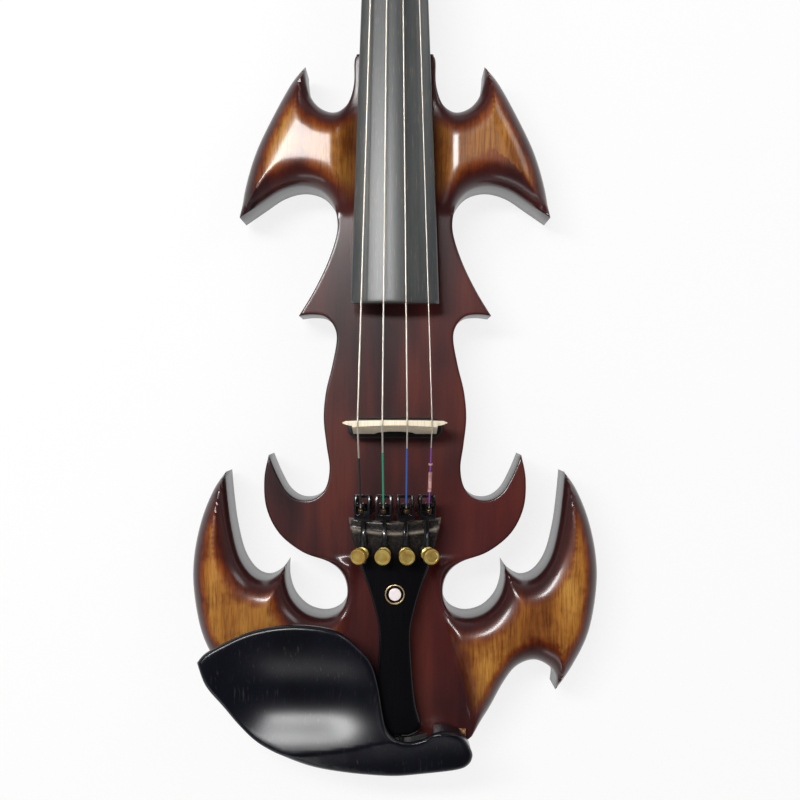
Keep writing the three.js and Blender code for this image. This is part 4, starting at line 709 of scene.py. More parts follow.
# Tailpiece and its eye
# A hill-shaped tailpiece of polished black, broad under the fine tuners and waisted towards the
# tail, with a low ridge across its head and a brass ring let in round a pearl dot.
tailpiece_shares = [(0, 1), (0.075, 0.94), (0.21, 0.76), (0.33, 0.56), (0.44, 0.41), (0.54, 0.34),
                    (0.72, 0.385), (0.85, 0.45), (0.945, 0.56), (0.98, 0.5), (1, 0.3)]
side_line = [(share * tailpiece_width / 2, tailpiece_front - down * 106) for down, share in tailpiece_shares]
right_side = flowing(side_line, 7)
left_side = [np.array([-x, y]) for x, y in reversed(right_side)]
head_line = along_line([tuple(left_side[-1]), tuple(right_side[0])], 1.5)
head_line = head_line[1:len(head_line) // 2 + 1]
head_line[:, 1] -= 1.8 * (1 - (2 * head_line[:, 0] / tailpiece_width) ** 2)
tail_line = np.array([right_side[-1] * (1 - t) + left_side[0] * t for t in (0.25, 0.5, 0.75)])
tailpiece_plan = np.concatenate([right_side, tail_line, left_side, head_line])[::-1]


def ridge_line(x):
    """The ridge bends with the head, its ends nearer the bridge."""
    return tailpiece_front - 7.6 + 2.6 * (2 * x / tailpiece_width) ** 2


def ridge_share(points):
    return np.exp(-((points[:, 1] - ridge_line(points[:, 0])) / 0.85) ** 4)


def tailpiece_top(points):
    edge = edge_distance(points, tailpiece_plan)
    ridge = 1.1 * ridge_share(points) * np.clip(edge / 1.2, 0, 1)
    return tailpiece_face(points[:, 0], points[:, 1]) + ridge - rounded_edge(edge, 1.3)


def tailpiece_floor(points):
    centre = tailpiece_face(0 * points[:, 0], points[:, 1]) - 7
    return centre + rounded_edge(edge_distance(points, tailpiece_plan), 0.5)


ridge_rows = [np.array([(x, ridge_line(x) + shift) for x in np.arange(-17.5, 17.6, 0.7)])
              for shift in (-1.35, -0.95, -0.65, -0.3, 0.3, 0.65, 0.95, 1.35)]
tailpiece = carved_board("black_tailpiece", tailpiece_plan, 1.3, [0.12, 0.4, 0.9, 1.6], tailpiece_top, tailpiece_floor,
                         ridge_rows)
eye_line = tailpiece_front - 37
eye_level = tailpiece_face(0, eye_line)
tools = [rod("eye_seat", (0, eye_line, eye_level - 1.6), (0, eye_line, eye_level + 4), 5.1)]
for index in range(4):
    place = tuner_place(index)
    tools.append(rod("screw_hole", tuple(place @ Vector((0, 0, -12))), tuple(place @ Vector((0, 0, 4))), 1.7, 24))
    pocket = block("lever_pocket", (-2.6, -5.5, -12), (2.6, 20.5, -2.4))
    pocket.data.transform(Matrix.Translation(row(0, 0, 0)) @ Matrix.Diagonal((millimetre,) * 3 + (1,)) @ place
                          @ Matrix.Diagonal((1 / millimetre,) * 3 + (1,)) @ Matrix.Translation(-row(0, 0, 0)))
    tools.append(pocket)
for side in (-1, 1):
    level = tailpiece_face(0, tailpiece_tail) - 3.5
    tools.append(rod("gut_hole", (side * 3, tailpiece_tail - 4, level), (side * 3, tailpiece_tail + 5, level), 1.3, 24))
carve(tailpiece, *tools)
shade(tailpiece, 35)
spots = np.array([tuple(corner.co / millimetre) for corner in tailpiece.data.vertices])
spots[:, 1] -= bridge_line
above = spots[:, 2] > tailpiece_face(spots[:, 0], spots[:, 1]) - 2.5
crest = ridge_share(spots[:, :2]) * above
lip = np.clip(1 - edge_distance(spots[:, :2], tailpiece_plan) / 1.0, 0, 1) * above * (spots[:, 1] > tailpiece_front - 3)
# The ridge's crest and the front lip get a lighter colour: a painted highlight, partly wear as well.
sheen_and_wear_mark = tailpiece.data.attributes.new("wear_and_sheen", "FLOAT", "POINT")
sheen_and_wear_mark.data.foreach_set("value", np.maximum(crest, lip))

polished_black, tree, shader = finish_of("polished black", Coat_Weight=0.3, Coat_Roughness=0.05, Specular_IOR_Level=0.2)
bands, streaks, pores = grain(tree, 1.0, 0.3)
place = add(tree, "ShaderNodeTexCoord").outputs["Object"]
split = add(tree, "ShaderNodeSeparateXYZ", Vector=place)
head = add(tree, "ShaderNodeMapRange", Value=split.outputs["Y"], _1=row(0, tailpiece_front - 20, 0).y,
           _2=row(0, tailpiece_front - 9, 0).y).outputs[0]
dust = add(tree, "ShaderNodeTexNoise", Vector=place, Scale=1400.0, Detail=6.0).outputs["Fac"]
dusty = measure(tree, "MULTIPLY", head, ramp(tree, dust, (0.44, (0, 0, 0, 1)), (0.7, (0.5, 0.5, 0.5, 1))))
tone = mix(tree, dusty, srgb(9, 9, 12), srgb(86, 74, 62))
# Painted highlight on the ridge crest and the front lip, partly wear, broken up by the dust noise.
wear_and_sheen = add(tree, "ShaderNodeAttribute", {"attribute_name": "wear_and_sheen"}).outputs["Fac"]
wear_and_sheen = measure(tree, "MULTIPLY", wear_and_sheen, ramp(tree, dust, (0.3, (0.5, 0.5, 0.5, 1)), (0.6, (0.95, 0.95, 0.95, 1))))
tree.links.new(mix(tree, wear_and_sheen, tone, srgb(140, 130, 118)), shader.inputs["Base Color"])
gloss = ramp(tree, streaks, (0.3, (0.2, 0.2, 0.2, 1)), (0.7, (0.28, 0.28, 0.28, 1)))
tree.links.new(mix(tree, measure(tree, "MULTIPLY", head, 0.7), gloss, (0.6, 0.6, 0.6, 1)), shader.inputs["Roughness"])
dress(tailpiece, polished_black, "tailpiece", slot_name="tailpiece_gloss")

brass, tree, shader = finish_of("polished brass", Base_Color=srgb(206, 176, 128), Metallic=0.8, Roughness=0.35)
dress(refined("eye_ring", "brass_eye_ring", 0.15, 30), brass, "eye_ring", slot_name="brass")
pearl, tree, shader = finish_of("pearl dot", Roughness=0.2, Coat_Weight=0.5)
place = add(tree, "ShaderNodeTexCoord").outputs["Object"]
sheen = add(tree, "ShaderNodeTexNoise", Vector=place, Scale=420.0, Detail=3.0, Distortion=1.5).outputs["Fac"]
tree.links.new(ramp(tree, sheen, (0.3, srgb(226, 204, 210)), (0.5, srgb(240, 228, 226)), (0.7, srgb(208, 214, 218))),
               shader.inputs["Base Color"])
dress(refined("eye_dot", "pearl_eye_dot", 0.2, 30), pearl, "eye_dot", slot_name="pearl")

# Fine tuners
# Each is a black frame clamped on the tailpiece, a forked lever that holds the string's ball in
# its hook, and a knurled brass thumbscrew. Turning the screw in tilts the lever.
tuner_black, tree, shader = finish_of("black lacquered steel", Base_Color=srgb(10, 10, 12), Coat_Weight=0.7, Coat_Roughness=0.08,
                                     Specular_IOR_Level=0.3)
wear_and_sheen = add(tree, "ShaderNodeTexNoise", Vector=add(tree, "ShaderNodeTexCoord").outputs["Object"], Scale=700.0).outputs["Fac"]
tree.links.new(ramp(tree, wear_and_sheen, (0.35, (0.24, 0.24, 0.24, 1)), (0.7, (0.36, 0.36, 0.36, 1))), shader.inputs["Roughness"])
tinted_brass, tree, shader = finish_of("gold tinted brass", Metallic=0.75)
place = add(tree, "ShaderNodeTexCoord").outputs["Object"]
tarnish = add(tree, "ShaderNodeTexNoise", Vector=place, Scale=260.0, Detail=4.0).outputs["Fac"]
tree.links.new(ramp(tree, tarnish, (0.35, srgb(196, 152, 72)), (0.6, srgb(228, 204, 118))), shader.inputs["Base Color"])
tree.links.new(ramp(tree, tarnish, (0.35, (0.42, 0.42, 0.42, 1)), (0.7, (0.3, 0.3, 0.3, 1))), shader.inputs["Roughness"])


def thumbscrew(name, place):
    """A knurled head over a slotted neck and a collar, all turned on one threaded shank."""
    profile = [(0, -2.3), (1.35, -2.3), (1.35, 4.7), (3.0, 4.8), (3.3, 5.1), (3.3, 6.0), (2.7, 6.4), (2.7, 8.3), (3.5, 8.7),
               (3.8, 9.1), (3.8, 12.1), (3.4, 12.45), (2.9, 12.45), (2.6, 12.2), (0, 12.2)]
    sides = 72
    corners = [(radius * (0.95 if ring in (6, 7, 9, 10) and step % 2 else 1) * cos(2 * pi * step / sides),
                radius * (0.95 if ring in (6, 7, 9, 10) and step % 2 else 1) * sin(2 * pi * step / sides), z)
               for ring, (radius, z) in enumerate(profile) if radius for step in range(sides)]
    rings = len(corners) // sides
    faces = [(ring * sides + step, ring * sides + (step + 1) % sides, (ring + 1) * sides + (step + 1) % sides,
              (ring + 1) * sides + step) for ring in range(rings - 1) for step in range(sides)]
    faces += [tuple(range(sides)), tuple((rings - 1) * sides + step for step in range(sides))]
    mesh = bpy.data.meshes.new(name)
    mesh.from_pydata(corners, [], faces)
    head = bpy.data.objects.new(name, mesh)
    bpy.context.collection.objects.link(head)
    choose(head)
    bpy.ops.object.mode_set(mode="EDIT")
    bpy.ops.mesh.select_all(action="SELECT")
    bpy.ops.mesh.normals_make_consistent(inside=False)
    bpy.ops.object.mode_set(mode="OBJECT")
    mesh.transform(Matrix.Translation(row(0, 0, 0)) @ Matrix.Diagonal((millimetre,) * 3 + (1,)) @ place)
    return shade(head, 28)


def slim_frame(name, place):
    """The CAD frame with the strip between its boss and its forks narrowed like the real one."""
    piece = refined(f"tuner_frame_{name}", f"{name}_tuner_frame", 0.25, 35)
    inward = place.inverted()
    for corner in piece.data.vertices:
        spot = inward @ ((corner.co - row(0, 0, 0)) / millimetre)
        if 1.2 < abs(spot.x) < 1.7 and spot.xy.length > 3.3:
            spot.x *= 0.5
            corner.co = place @ spot * millimetre + row(0, 0, 0)
    return piece


for index, name in enumerate(string_names):
    dress(slim_frame(name, tuner_place(index)), tuner_black, f"tuner_frame_{name}", slot_name="tuner_black")
    dress(refined(f"tuner_lever_{name}", f"{name}_tuner_lever", 0.25, 30), tuner_black, f"tuner_lever_{name}",
          body_name=f"tuner_lever_{name}", slot_name="tuner_black")
    dress(thumbscrew(f"{name}_thumbscrew", tuner_place(index)), tinted_brass, f"tuner_screw_{name}",
          body_name=f"tuner_screw_{name}", slot_name="brass")

# Chinrest and its clamp
# A cup of oiled ebony on the bass side, hollowed for the jaw, with an arm that bridges the
# tailpiece. Two corked feet stand on the body, and two barrels draw a footed bracket up below.
chinrest_shares = [(0, 0.24), (0.03, 0.18), (0.1, 0.11), (0.19, 0.04), (0.3, 0), (0.41, 0), (0.51, 0.04),
                   (0.58, 0.14), (0.63, 0.25), (0.655, 0.4), (0.67, 0.56), (0.685, 0.67), (0.715, 0.735),
                   (0.76, 0.765), (0.82, 0.745), (0.86, 0.7), (0.9, 0.69), (0.94, 0.71), (0.97, 0.75),
                   (0.99, 0.81), (1, 0.87), (0.985, 0.93), (0.94, 0.965), (0.81, 0.99), (0.7, 1),
                   (0.55, 0.975), (0.42, 0.93), (0.32, 0.86), (0.22, 0.77), (0.15, 0.66), (0.09, 0.53),
                   (0.03, 0.39)]
chinrest_left, chinrest_front, chinrest_width, chinrest_depth = -94.5, -97, 132, 73.5
chinrest_plan = np.array(flowing([(chinrest_left + across * chinrest_width, chinrest_front - down * chinrest_depth)
                                  for across, down in chinrest_shares + chinrest_shares[:1]], 6)[:-1])[::-1]
cup_centre = np.array([chinrest_left + 0.37 * chinrest_width, chinrest_front - 0.48 * chinrest_depth])
ridge_line = ((-70, -58.5, -49, -36, -22, -9, 5, 19, 38), (-166, -157.9, -158.8, -158.1, -156.6, -153.8, -151.8, -149.5, -149))
foot_inner, foot_outer = 18.5, 36.5


def chinrest_face(points):
    along = (points[:, 0] - chinrest_left) / chinrest_width / 0.62 - 0.7
    level = 22 + (19.5 - 22) * smooth_step(along)
    dish = np.exp(-((points[:, 0] - cup_centre[0]) / 38) ** 4 - ((points[:, 1] - cup_centre[1]) / 21) ** 2)
    below = np.maximum(np.interp(points[:, 0], *ridge_line) - points[:, 1], 0)
    return body_top + level - 9 * dish - 6.5 * np.tanh(0.6 * below / 6.5)


def chinrest_top(points):
    return chinrest_face(points) - rounded_edge(edge_distance(points, chinrest_plan), 2.4)


def chinrest_under(points):
    across = np.abs(points[:, 0])
    face = chinrest_face(points)
    edge = edge_distance(points, chinrest_plan)
    shell = face - 5.2 + rounded_edge(edge, 2.0)
    footed = (points[:, 1] < chinrest_front - 0.68 * chinrest_depth) & (across < foot_outer) & (across > foot_inner)
    under = np.where(footed, body_top + 2.3, shell)
    clear = body_top + 10 + 3.8 * smooth_step((points[:, 1] + 154) / 3)
    return np.where(across < 12.5, np.maximum(shell, clear), under)


chinrest = carved_board("ebony_chinrest", chinrest_plan, 1.5, [0.12, 0.4, 0.9, 1.6, 2.4], chinrest_top, chinrest_under)
shade(chinrest, 40)
rest_ebony, tree, shader = finish_of("oiled ebony with a blue cast", Roughness=0.36, Coat_Weight=0.75, Coat_Roughness=0.24,
                                     Specular_IOR_Level=0.1)
bands, streaks, pores = grain(tree, 0.8, 1.6)
tone = ramp(tree, bands, (0.35, srgb(5, 6, 13)), (0.6, srgb(11, 12, 22)), (0.75, srgb(8, 9, 17)))
flecks = ramp(tree, pores, (0.62, (0, 0, 0, 1)), (0.76, (0.35, 0.35, 0.35, 1)))
tree.links.new(mix(tree, flecks, tone, srgb(74, 70, 68)), shader.inputs["Base Color"])
bump = add(tree, "ShaderNodeBump", Height=pores, Strength=0.08, Distance=0.0002)
tree.links.new(bump.outputs[0], shader.inputs["Normal"])
dress(chinrest, rest_ebony, "chinrest", slot_name="chinrest_ebony")

# Neck, pegbox and scroll
# One piece of maple, stained as the body is. The heel is let into the body, the shaft is round
# underneath, the pegbox is hollowed for the strings, and the volute winds up to a proud eye.
pegbox_length = 70
pegbox_top = board_bottom(neck_end) - 0.3
scroll_radius, volute_pitch = 17.5, 4.2
scroll_line, scroll_level = neck_end - 6 + 84.2, 17.5


def skinned(name, rings, closed=True):
    """A closed skin over rings of places in mm with equal counts, fanned shut at both ends."""
    count = len(rings[0])
    corners = [row(*place) for ring in rings for place in ring]
    faces = []
    for ring in range(len(rings) - 1):
        for step in range(count):
            a, b = ring * count + step, ring * count + (step + 1) % count
            faces.append((a, b, b + count, a + count))
    faces.append(tuple(range(count)))
    faces.append(tuple((len(rings) - 1) * count + step for step in range(count)))
    mesh = bpy.data.meshes.new(name)
    mesh.from_pydata(corners, [], faces)
    piece = bpy.data.objects.new(name, mesh)
    bpy.context.collection.objects.link(piece)
    choose(piece)
    bpy.ops.object.mode_set(mode="EDIT")
    bpy.ops.mesh.select_all(action="SELECT")
    bpy.ops.mesh.normals_make_consistent(inside=False)
    bpy.ops.object.mode_set(mode="OBJECT")
    return piece


def neck_ring(y, half, depth, fullness, sides=28):
    top = board_bottom(min(y, neck_end)) - 0.3
    angles = [pi * step / sides for step in range(sides + 1)]
    return [(half * cos(angle), y, top - depth * max(sin(angle), 0) ** fullness) for angle in angles]


heel_end = upper_edge + 0.3
rings = []
for step in range(13):
    share = step / 12
    y = heel_end + share * 24
    rise = sqrt(1 - (1 - share) ** 2)
    rings.append(neck_ring(y, 15 + (board_half(y) - 0.6 - 15) * rise, 34 + (15 - 34) * rise, 0.45 + 0.35 * rise))
for step in range(1, 17):
    share = step / 16
    y = heel_end + 24 + (neck_end - heel_end - 24) * share
    rings.append(neck_ring(y, board_half(y) - 0.6, 15 - 3 * share, 0.8))
shaft = skinned("neck_shaft", rings)
tenon = block("neck_tenon", (-14.4, upper_edge - 28, body_top - 18), (14.4, heel_end + 0.3, board_bottom(upper_edge) - 0.8))

front_line = flowing([(-0.06, 0.01), (0.006, 0.01), (0.012, -0.02), (0.35, 0.03), (0.7, 0.12), (0.95, 0.2), (1.06, 0.3)], 5)
back_line = flowing([(1.15, 0.985), (0.95, 0.94), (0.7, 0.84), (0.4, 0.67), (0.15, 0.5), (0, 0.36), (-0.06, 0.34)], 5)
floor_line = flowing([(0.97, 0.74), (0.7, 0.64), (0.35, 0.48), (0.012, 0.28)], 5)


def side_cut(name, line, half_at):
    """A side view in shares of the pegbox, thickened across to this half width."""
    places = [(neck_end + forward * pegbox_length, pegbox_top * (1 - down)) for forward, down in line]
    return skinned(name, [[(-half_at(y), y, z) for y, z in places], [(half_at(y), y, z) for y, z in places]])


pegbox = side_cut("pegbox", front_line + back_line, pegbox_half)
mouth = [(0.012, -0.2), (0.97, -0.2)]
carve(pegbox, side_cut("pegbox_hollow", mouth + [tuple(p) for p in floor_line], lambda y: pegbox_half(y) - 4.6))
for string in string_names:
    y, z, side = peg_place(string)
    carve(pegbox, rod("peg_hole", (-20, y, z), (20, y, z), 4, 48))

turns, steps = 3, 44
spots = []
for step in range(turns * steps + 1):
    turn = step / steps
    radius = scroll_radius - volute_pitch * max(0, turn - 0.25) * turns / (turns - 0.25)
    half = 21 * (0.62 + 0.38 * min(turn / 2.2, 1)) if turn > 0.15 else 21 * (0.5 + 0.12 * turn / 0.15)
    spots.append((-pi / 2 + 2 * pi * turn, radius, half))


def volute_place(step, radius, half):
    angle = spots[step][0]
    return (half, scroll_line + radius * cos(angle), scroll_level + radius * sin(angle))


corners, faces, index_of = [], [], {}


def corner(key, place):
    if key not in index_of:
        index_of[key] = len(corners)
        corners.append(row(*place))
    return index_of[key]


last = turns * steps
for side in (-1, 1):
    for step in range(last):
        def outer(k):
            return corner((side, "out", k), volute_place(k, spots[k][1], side * spots[k][2]))

        def inner(k):
            if k + steps <= last:
                return corner((side, "in", k), volute_place(k, spots[k + steps][1], side * spots[k][2]))
            return corner((side, "eye", k), volute_place(k, 3.9, side * spots[k][2]))
        faces.append((outer(step), outer(step + 1), inner(step + 1), inner(step)))
        if step >= steps:
            faces.append((corner((side, "in", step - steps), (0, 0, 0)), corner((side, "in", step + 1 - steps), (0, 0, 0)),
                          outer(step + 1), outer(step)))
for step in range(steps):
    faces.append(tuple(index_of[key] for key in ((1, "out", step), (1, "out", step + 1), (-1, "out", step + 1), (-1, "out", step))))
faces.append(tuple(index_of[key] for key in ((1, "out", 0), (1, "in", 0), (1, "out", steps), (-1, "out", steps),
                                             (-1, "in", 0), (-1, "out", 0))))
mesh = bpy.data.meshes.new("volute")
mesh.from_pydata(corners, [], faces)
volute = bpy.data.objects.new("volute", mesh)
bpy.context.collection.objects.link(volute)
choose(volute)
bpy.ops.object.mode_set(mode="EDIT")
bpy.ops.mesh.select_all(action="SELECT")
bpy.ops.mesh.remove_doubles(threshold=1e-5)
bpy.ops.mesh.fill_holes(sides=0)
bpy.ops.mesh.normals_make_consistent(inside=False)
bpy.ops.object.mode_set(mode="OBJECT")
eyes = [rod("scroll_eye", (side * 12, scroll_line, scroll_level), (side * 21, scroll_line, scroll_level), 5.2, 40)
        for side in (-1, 1)]
choose(tenon, pegbox, volute, *eyes, shaft)
bpy.ops.object.join()
neck = shaft
neck.name = "maple_neck"
rounding = neck.modifiers.new("rounding", "BEVEL")
rounding.width, rounding.segments, rounding.limit_method, rounding.angle_limit = 0.0006, 2, "ANGLE", radians(50)
bpy.ops.object.modifier_apply(modifier=rounding.name)
shade(neck, 40)

neck_lacquer, tree, shader = finish_of("stained maple under lacquer", Roughness=0.28, Coat_Weight=0.6, Coat_Roughness=0.1)
bands, streaks, pores = grain(tree)
tone = ramp(tree, bands, (0.34, srgb(58, 27, 27)), (0.5, srgb(92, 46, 38)), (0.66, srgb(70, 32, 30)))
fine = ramp(tree, streaks, (0.35, (0.6, 0.56, 0.52, 1)), (0.55, (1, 1, 1, 1)))
tree.links.new(mix(tree, 0.6, tone, fine, "MULTIPLY"), shader.inputs["Base Color"])
dress(neck, neck_lacquer, "neck", slot_name="neck_maple")

# Pegs
# Turned ebony, tapered across the pegbox, each with a collar, a flat heart-shaped head and a
# small pip. The string's last turns wind on the shank inside the pegbox.
for string in string_names:
    y, z, side = peg_place(string)
    half = pegbox_half(y)
    collar, head = half + 7, half + 11
    profile = [(3.3, -half - 2), (3.55, -half + 4), (3.6, half), (3.7, collar - 2.5), (4.4, collar - 0.6), (4.7, collar),
               (4.7, collar + 0.8), (4.1, collar + 1.6), (4.1, collar + 2.2), (4.7, collar + 2.8), (4.7, collar + 3.4),
               (4, head), (3.4, head + 2.5), (3.2, head + 4)]
    rings = [[(side * x, y + radius * cos(2 * pi * k / 32), z + radius * sin(2 * pi * k / 32)) for k in range(32)]
             for radius, x in profile]
    shank = skinned(f"{string}_peg", rings)
    parts = []
    for width, length, thick, centre in ((21, 20, 7, head + 10), (3.6, 3.6, 3.6, head + 20.6)):
        bpy.ops.object.select_all(action="DESELECT")
        bpy.ops.mesh.primitive_uv_sphere_add(segments=36, ring_count=20, radius=0.5)
        ball = bpy.context.active_object
        for vertex in ball.data.vertices:
            out = vertex.co.x
            waist = 1 - 0.16 * np.exp(-((out - 0.05) / 0.3) ** 2) if width > 5 else 1
            vertex.co = Vector((out * length, vertex.co.y * thick * waist, vertex.co.z * width * (1 - 0.35 * out)
                                if width > 5 else vertex.co.z * width)) * millimetre
        ball.location = row(side * centre, y, z)
        ball.scale.x = side
        settle(ball)
        parts.append(ball)
    choose(*parts, shank)
    bpy.ops.object.join()
    bpy.ops.object.mode_set(mode="EDIT")
    bpy.ops.mesh.select_all(action="SELECT")
    bpy.ops.mesh.normals_make_consistent(inside=False)
    bpy.ops.object.mode_set(mode="OBJECT")
    dress(shade(shank, 45), ebony, f"peg_{string}", body_name=f"peg_{string}", slot_name="ebony")
    index = string_names.index(string)
    radius = string_diameters[index] / 2
    x = (-1 if index < 2 else 1) * (half - 4.6) * 0.72
    inward = 1 if index < 2 else -1
    coil = [(x + inward * 1.5 * (1 + turn / 36), y + (3.9 + radius) * sin(2 * pi * turn / 36),
             z + (3.9 + radius) * cos(2 * pi * turn / 36)) for turn in range(109)]
    dress(cord_through(f"{string}_peg_turns", coil, radius), steel, f"peg_winding_{string}",
          body_name=f"peg_{string}", slot_name="string")

# Saddle, endpin and tailgut
# An ebony saddle is let into the tail, and a turned ebony endpin is fitted into the tail block.
# The tailgut leaves the tailpiece, bends over the saddle and loops round the endpin.
dress(refined("saddle", "ebony_saddle", 0.5, 30, 3), ebony, "saddle", slot_name="ebony")
dress(refined("endpin", "ebony_endpin", 0.3, 50, 3), ebony, "endpin", slot_name="ebony")
gut_level = tailpiece_face(0, tailpiece_tail) - 3.5
saddle_top = body_top + 7
pin_level = body_back + body_thickness / 2
gut_side = [(3, tailpiece_tail + 4.7, gut_level), (3, tailpiece_tail - 1.3, gut_level), (3, tail_edge + 0.65, saddle_top + 1.56),
            (3, tail_edge - 0.65, saddle_top + 1.3), (3, tail_edge - 1.82, saddle_top - 0.43),
            (3, tail_edge - 1.82, body_top - 1.3), (4.9, tail_edge - 2.5, pin_level + 2.45),
            (4.4, tail_edge - 2.5, pin_level - 2.45), (1.63, tail_edge - 2.5, pin_level - 4.9)]
gut_line = gut_side + [(-x, y, z) for x, y, z in reversed(gut_side)]
dress(cord_through("tail_cord", [tuple(p) for p in flowing(gut_line, 4)], 1.0, 12), black_plastic, "tailgut",
      slot_name="black_plastic")

# Chinrest clamp
# Two plated steel posts stand in the chinrest. Knurled barrels with a wrench hole run on their
# threads, and a bent plate hooks them under the back, with cork wherever it meets the wood.
nickel, tree, shader = finish_of("nickel plated steel", Base_Color=srgb(206, 203, 196), Metallic=1.0)
place = add(tree, "ShaderNodeTexCoord").outputs["Object"]
smudge = add(tree, "ShaderNodeTexNoise", Vector=place, Scale=240.0, Detail=4.0).outputs["Fac"]
tree.links.new(ramp(tree, smudge, (0.3, (0.14, 0.14, 0.14, 1)), (0.7, (0.3, 0.3, 0.3, 1))), shader.inputs["Roughness"])
cork, tree, shader = finish_of("pressed cork", Roughness=0.9)
place = add(tree, "ShaderNodeTexCoord").outputs["Object"]
crumbs = add(tree, "ShaderNodeTexVoronoi", Vector=place, Scale=900.0)
tone = ramp(tree, crumbs.outputs["Distance"], (0.1, srgb(176, 130, 84)), (0.5, srgb(150, 104, 62)), (0.8, srgb(96, 60, 34)))
tree.links.new(tone, shader.inputs["Base Color"])
bump = add(tree, "ShaderNodeBump", Height=crumbs.outputs["Distance"], Strength=0.3, Distance=0.0003)
tree.links.new(bump.outputs[0], shader.inputs["Normal"])
for side in ("left", "right"):
    dress(refined(f"clamp_post_{side}", f"{side}_post", 0.2, 50), nickel, f"clamp_post_{side}", slot_name="nickel")
    dress(refined(f"clamp_barrel_{side}", f"{side}_barrel", 0.3, 50, 3), nickel, f"clamp_barrel_{side}",
          body_name=f"clamp_barrel_{side}", slot_name="nickel")
    dress(refined(f"chinrest_cork_{side}", f"{side}_cork_pad", 0.3), cork, f"chinrest_cork_{side}", slot_name="cork")
dress(refined("clamp_bracket", "clamp_plate", 0.4, 40, 3), nickel, "clamp_bracket", body_name="clamp_bracket", slot_name="nickel")
dress(refined("clamp_cork", "clamp_cork_pad", 0.2), cork, "clamp_cork", body_name="clamp_bracket", slot_name="cork")

# Controls, electronics and battery
# A black plate sunk in the back carries two knobs on their potentiometers, and hides a small
# amplifier board. The socket is plated. A hinged door closes the battery's pocket.
stamped_steel, tree, shader = finish_of("stamped steel", Base_Color=srgb(176, 178, 182), Metallic=1.0)
place = add(tree, "ShaderNodeTexCoord").outputs["Object"]
brushed = add(tree, "ShaderNodeTexNoise", Vector=place, Scale=500.0, Detail=3.0).outputs["Fac"]
tree.links.new(ramp(tree, brushed, (0.3, (0.3, 0.3, 0.3, 1)), (0.7, (0.5, 0.5, 0.5, 1))), shader.inputs["Roughness"])
solder_mask, tree, shader = finish_of("green board", Roughness=0.45)
place = add(tree, "ShaderNodeTexCoord").outputs["Object"]
tracks = add(tree, "ShaderNodeTexBrick", Vector=place, Scale=500.0).outputs["Fac"]
tree.links.new(mix(tree, tracks, srgb(30, 92, 58), srgb(54, 120, 74)), shader.inputs["Base Color"])
cell_case, tree, shader = finish_of("battery jacket", Metallic=0.3)
split = add(tree, "ShaderNodeSeparateXYZ", Vector=add(tree, "ShaderNodeTexCoord").outputs["Object"])
tree.links.new(ramp(tree, measure(tree, "MULTIPLY_ADD", split.outputs["X"], 18.0, 0.5), (0.3, srgb(40, 44, 52)),
                    (0.72, srgb(40, 44, 52)), (0.74, srgb(186, 128, 62))), shader.inputs["Base Color"])
rubber, tree, shader = finish_of("lead sleeve", Base_Color=srgb(18, 18, 20), Roughness=0.6)
dress(refined("control_plate", "control_cover", 0.3), black_plastic, "control_plate", slot_name="black_plastic")
for name in ("volume", "tone"):
    dress(refined(f"{name}_knob", f"{name}_dial", 0.35, 50, 3), black_plastic, f"{name}_knob", body_name=f"{name}_knob",
          slot_name="black_plastic")
    dress(refined(f"{name}_pot", f"{name}_potentiometer", 0.2, 50), stamped_steel, f"{name}_pot", slot_name="steel")
for end in ("tail", "head"):
    dress(refined(f"plate_screw_{end}", f"{end}_cover_screw", 0.15, 50), nickel, f"plate_screw_{end}", slot_name="nickel")
dress(refined("preamp_board", "amplifier_board", 0.1), solder_mask, "preamp_board", slot_name="board_green")
dress(refined("output_jack", "plated_socket", 0.25, 50, 3), nickel, "output_jack", slot_name="nickel")
dress(refined("battery", "block_battery", 0.6, 30, 3), cell_case, "battery", slot_name="battery_case")
dress(refined("battery_snap", "battery_terminal_cap", 0.3), black_plastic, "battery_snap", slot_name="black_plastic")
dress(refined("battery_door", "battery_lid", 0.35), black_plastic, "battery_door", body_name="battery_door",
      slot_name="black_plastic")
for lead in ("pickup_lead", "battery_lead"):
    dress(refined(lead, f"sleeved_{lead}", 0), rubber, lead, slot_name="lead_rubber")

# Studio
# A plain pale floor under the instrument, a window light above on the left, a weak soft box and
# a low strip, and pale walls under a dimmer ceiling. The camera looks straight down on the body.
bpy.ops.object.select_all(action="DESELECT")
bpy.ops.mesh.primitive_plane_add(size=12, location=(0, 0, -0.0004))
floor = bpy.context.active_object
floor.name = "floor"
paper = bpy.data.materials.new("pale studio floor")
paper.use_nodes = True
tree = paper.node_tree
tree.nodes.clear()
path = add(tree, "ShaderNodeLightPath")
seen = measure(tree, "MAXIMUM", path.outputs["Is Camera Ray"], path.outputs["Is Glossy Ray"])
seen = measure(tree, "MAXIMUM", seen, path.outputs["Is Transmission Ray"])
plain = add(tree, "ShaderNodeBsdfDiffuse", Color=(0.8, 0.8, 0.8, 1)).outputs[0]
lit = add(tree, "ShaderNodeEmission", Color=(1, 1, 1, 1), Strength=1.0).outputs[0]
blend = add(tree, "ShaderNodeMixShader", Fac=measure(tree, "MULTIPLY", seen, 0.82), _1=plain, _2=lit)
out = add(tree, "ShaderNodeOutputMaterial", Surface=blend.outputs[0])
floor.data.materials.append(paper)

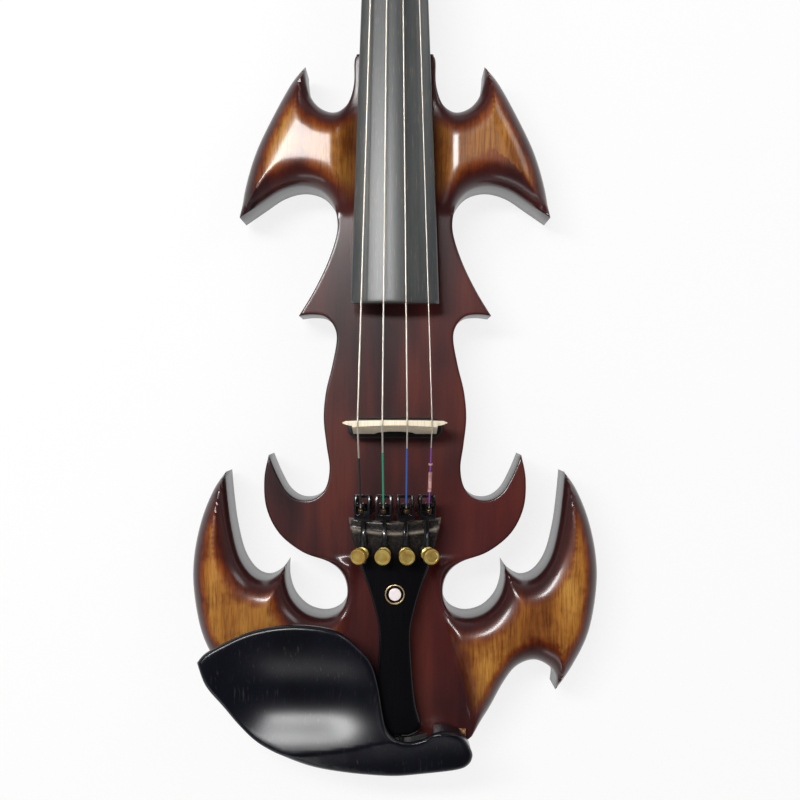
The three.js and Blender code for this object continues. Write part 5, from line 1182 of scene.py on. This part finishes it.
world = bpy.data.worlds.new("pale surround")
bpy.context.scene.world = world
world.use_nodes = True
tree = world.node_tree
tree.nodes.clear()
path = add(tree, "ShaderNodeLightPath")
seen = measure(tree, "MAXIMUM", path.outputs["Is Camera Ray"], path.outputs["Is Glossy Ray"])
seen = measure(tree, "MAXIMUM", seen, path.outputs["Is Transmission Ray"])
height = add(tree, "ShaderNodeSeparateXYZ", Vector=add(tree, "ShaderNodeTexCoord").outputs["Generated"]).outputs["Z"]
walls = ramp(tree, height, (0.1, (0.6, 0.6, 0.62, 1)), (0.5, (0.15, 0.15, 0.16, 1)),
             (0.78, (0.03, 0.03, 0.03, 1)))
walls = mix(tree, path.outputs["Is Camera Ray"], walls, (1, 1, 1, 1))
around = add(tree, "ShaderNodeBackground", Color=(1, 1, 1, 1), Strength=0.42).outputs[0]
behind = add(tree, "ShaderNodeBackground", Color=walls, Strength=1.0).outputs[0]
blend = add(tree, "ShaderNodeMixShader", Fac=seen, _1=around, _2=behind)
add(tree, "ShaderNodeOutputWorld", Surface=blend.outputs[0])


def soft_light(name, place, aim, width, height, power):
    lamp = bpy.data.lights.new(name, "AREA")
    lamp.shape, lamp.size, lamp.size_y, lamp.energy = "RECTANGLE", width, height, power
    light = bpy.data.objects.new(name, lamp)
    light.location = place
    light.rotation_euler = (Vector(aim) - Vector(place)).to_track_quat("-Z", "Y").to_euler()
    bpy.context.collection.objects.link(light)
    return light


soft_light("window", row(-440, 370, 1200), row(-440, 370, 0), 0.74, 0.16, 14)
soft_light("soft_box", (1.0, 0.7, 1.1), (0, 0, 0), 0.5, 0.5, 3)
soft_light("low_strip", (-0.5, -1.3, 0.8), (0, -0.1, 0), 0.9, 0.3, 2)

view_height = 680
pixels_per_millimetre = 2.035
lens = bpy.data.cameras.new("photograph")
lens.sensor_width = 36
lens.lens = pixels_per_millimetre * view_height / 800 * 36
camera = bpy.data.objects.new("photograph", lens)
camera.location = row(2.46, 10.8, body_top + view_height)
bpy.context.collection.objects.link(camera)
bpy.context.scene.camera = camera
bpy.context.scene.view_settings.view_transform = "Standard"
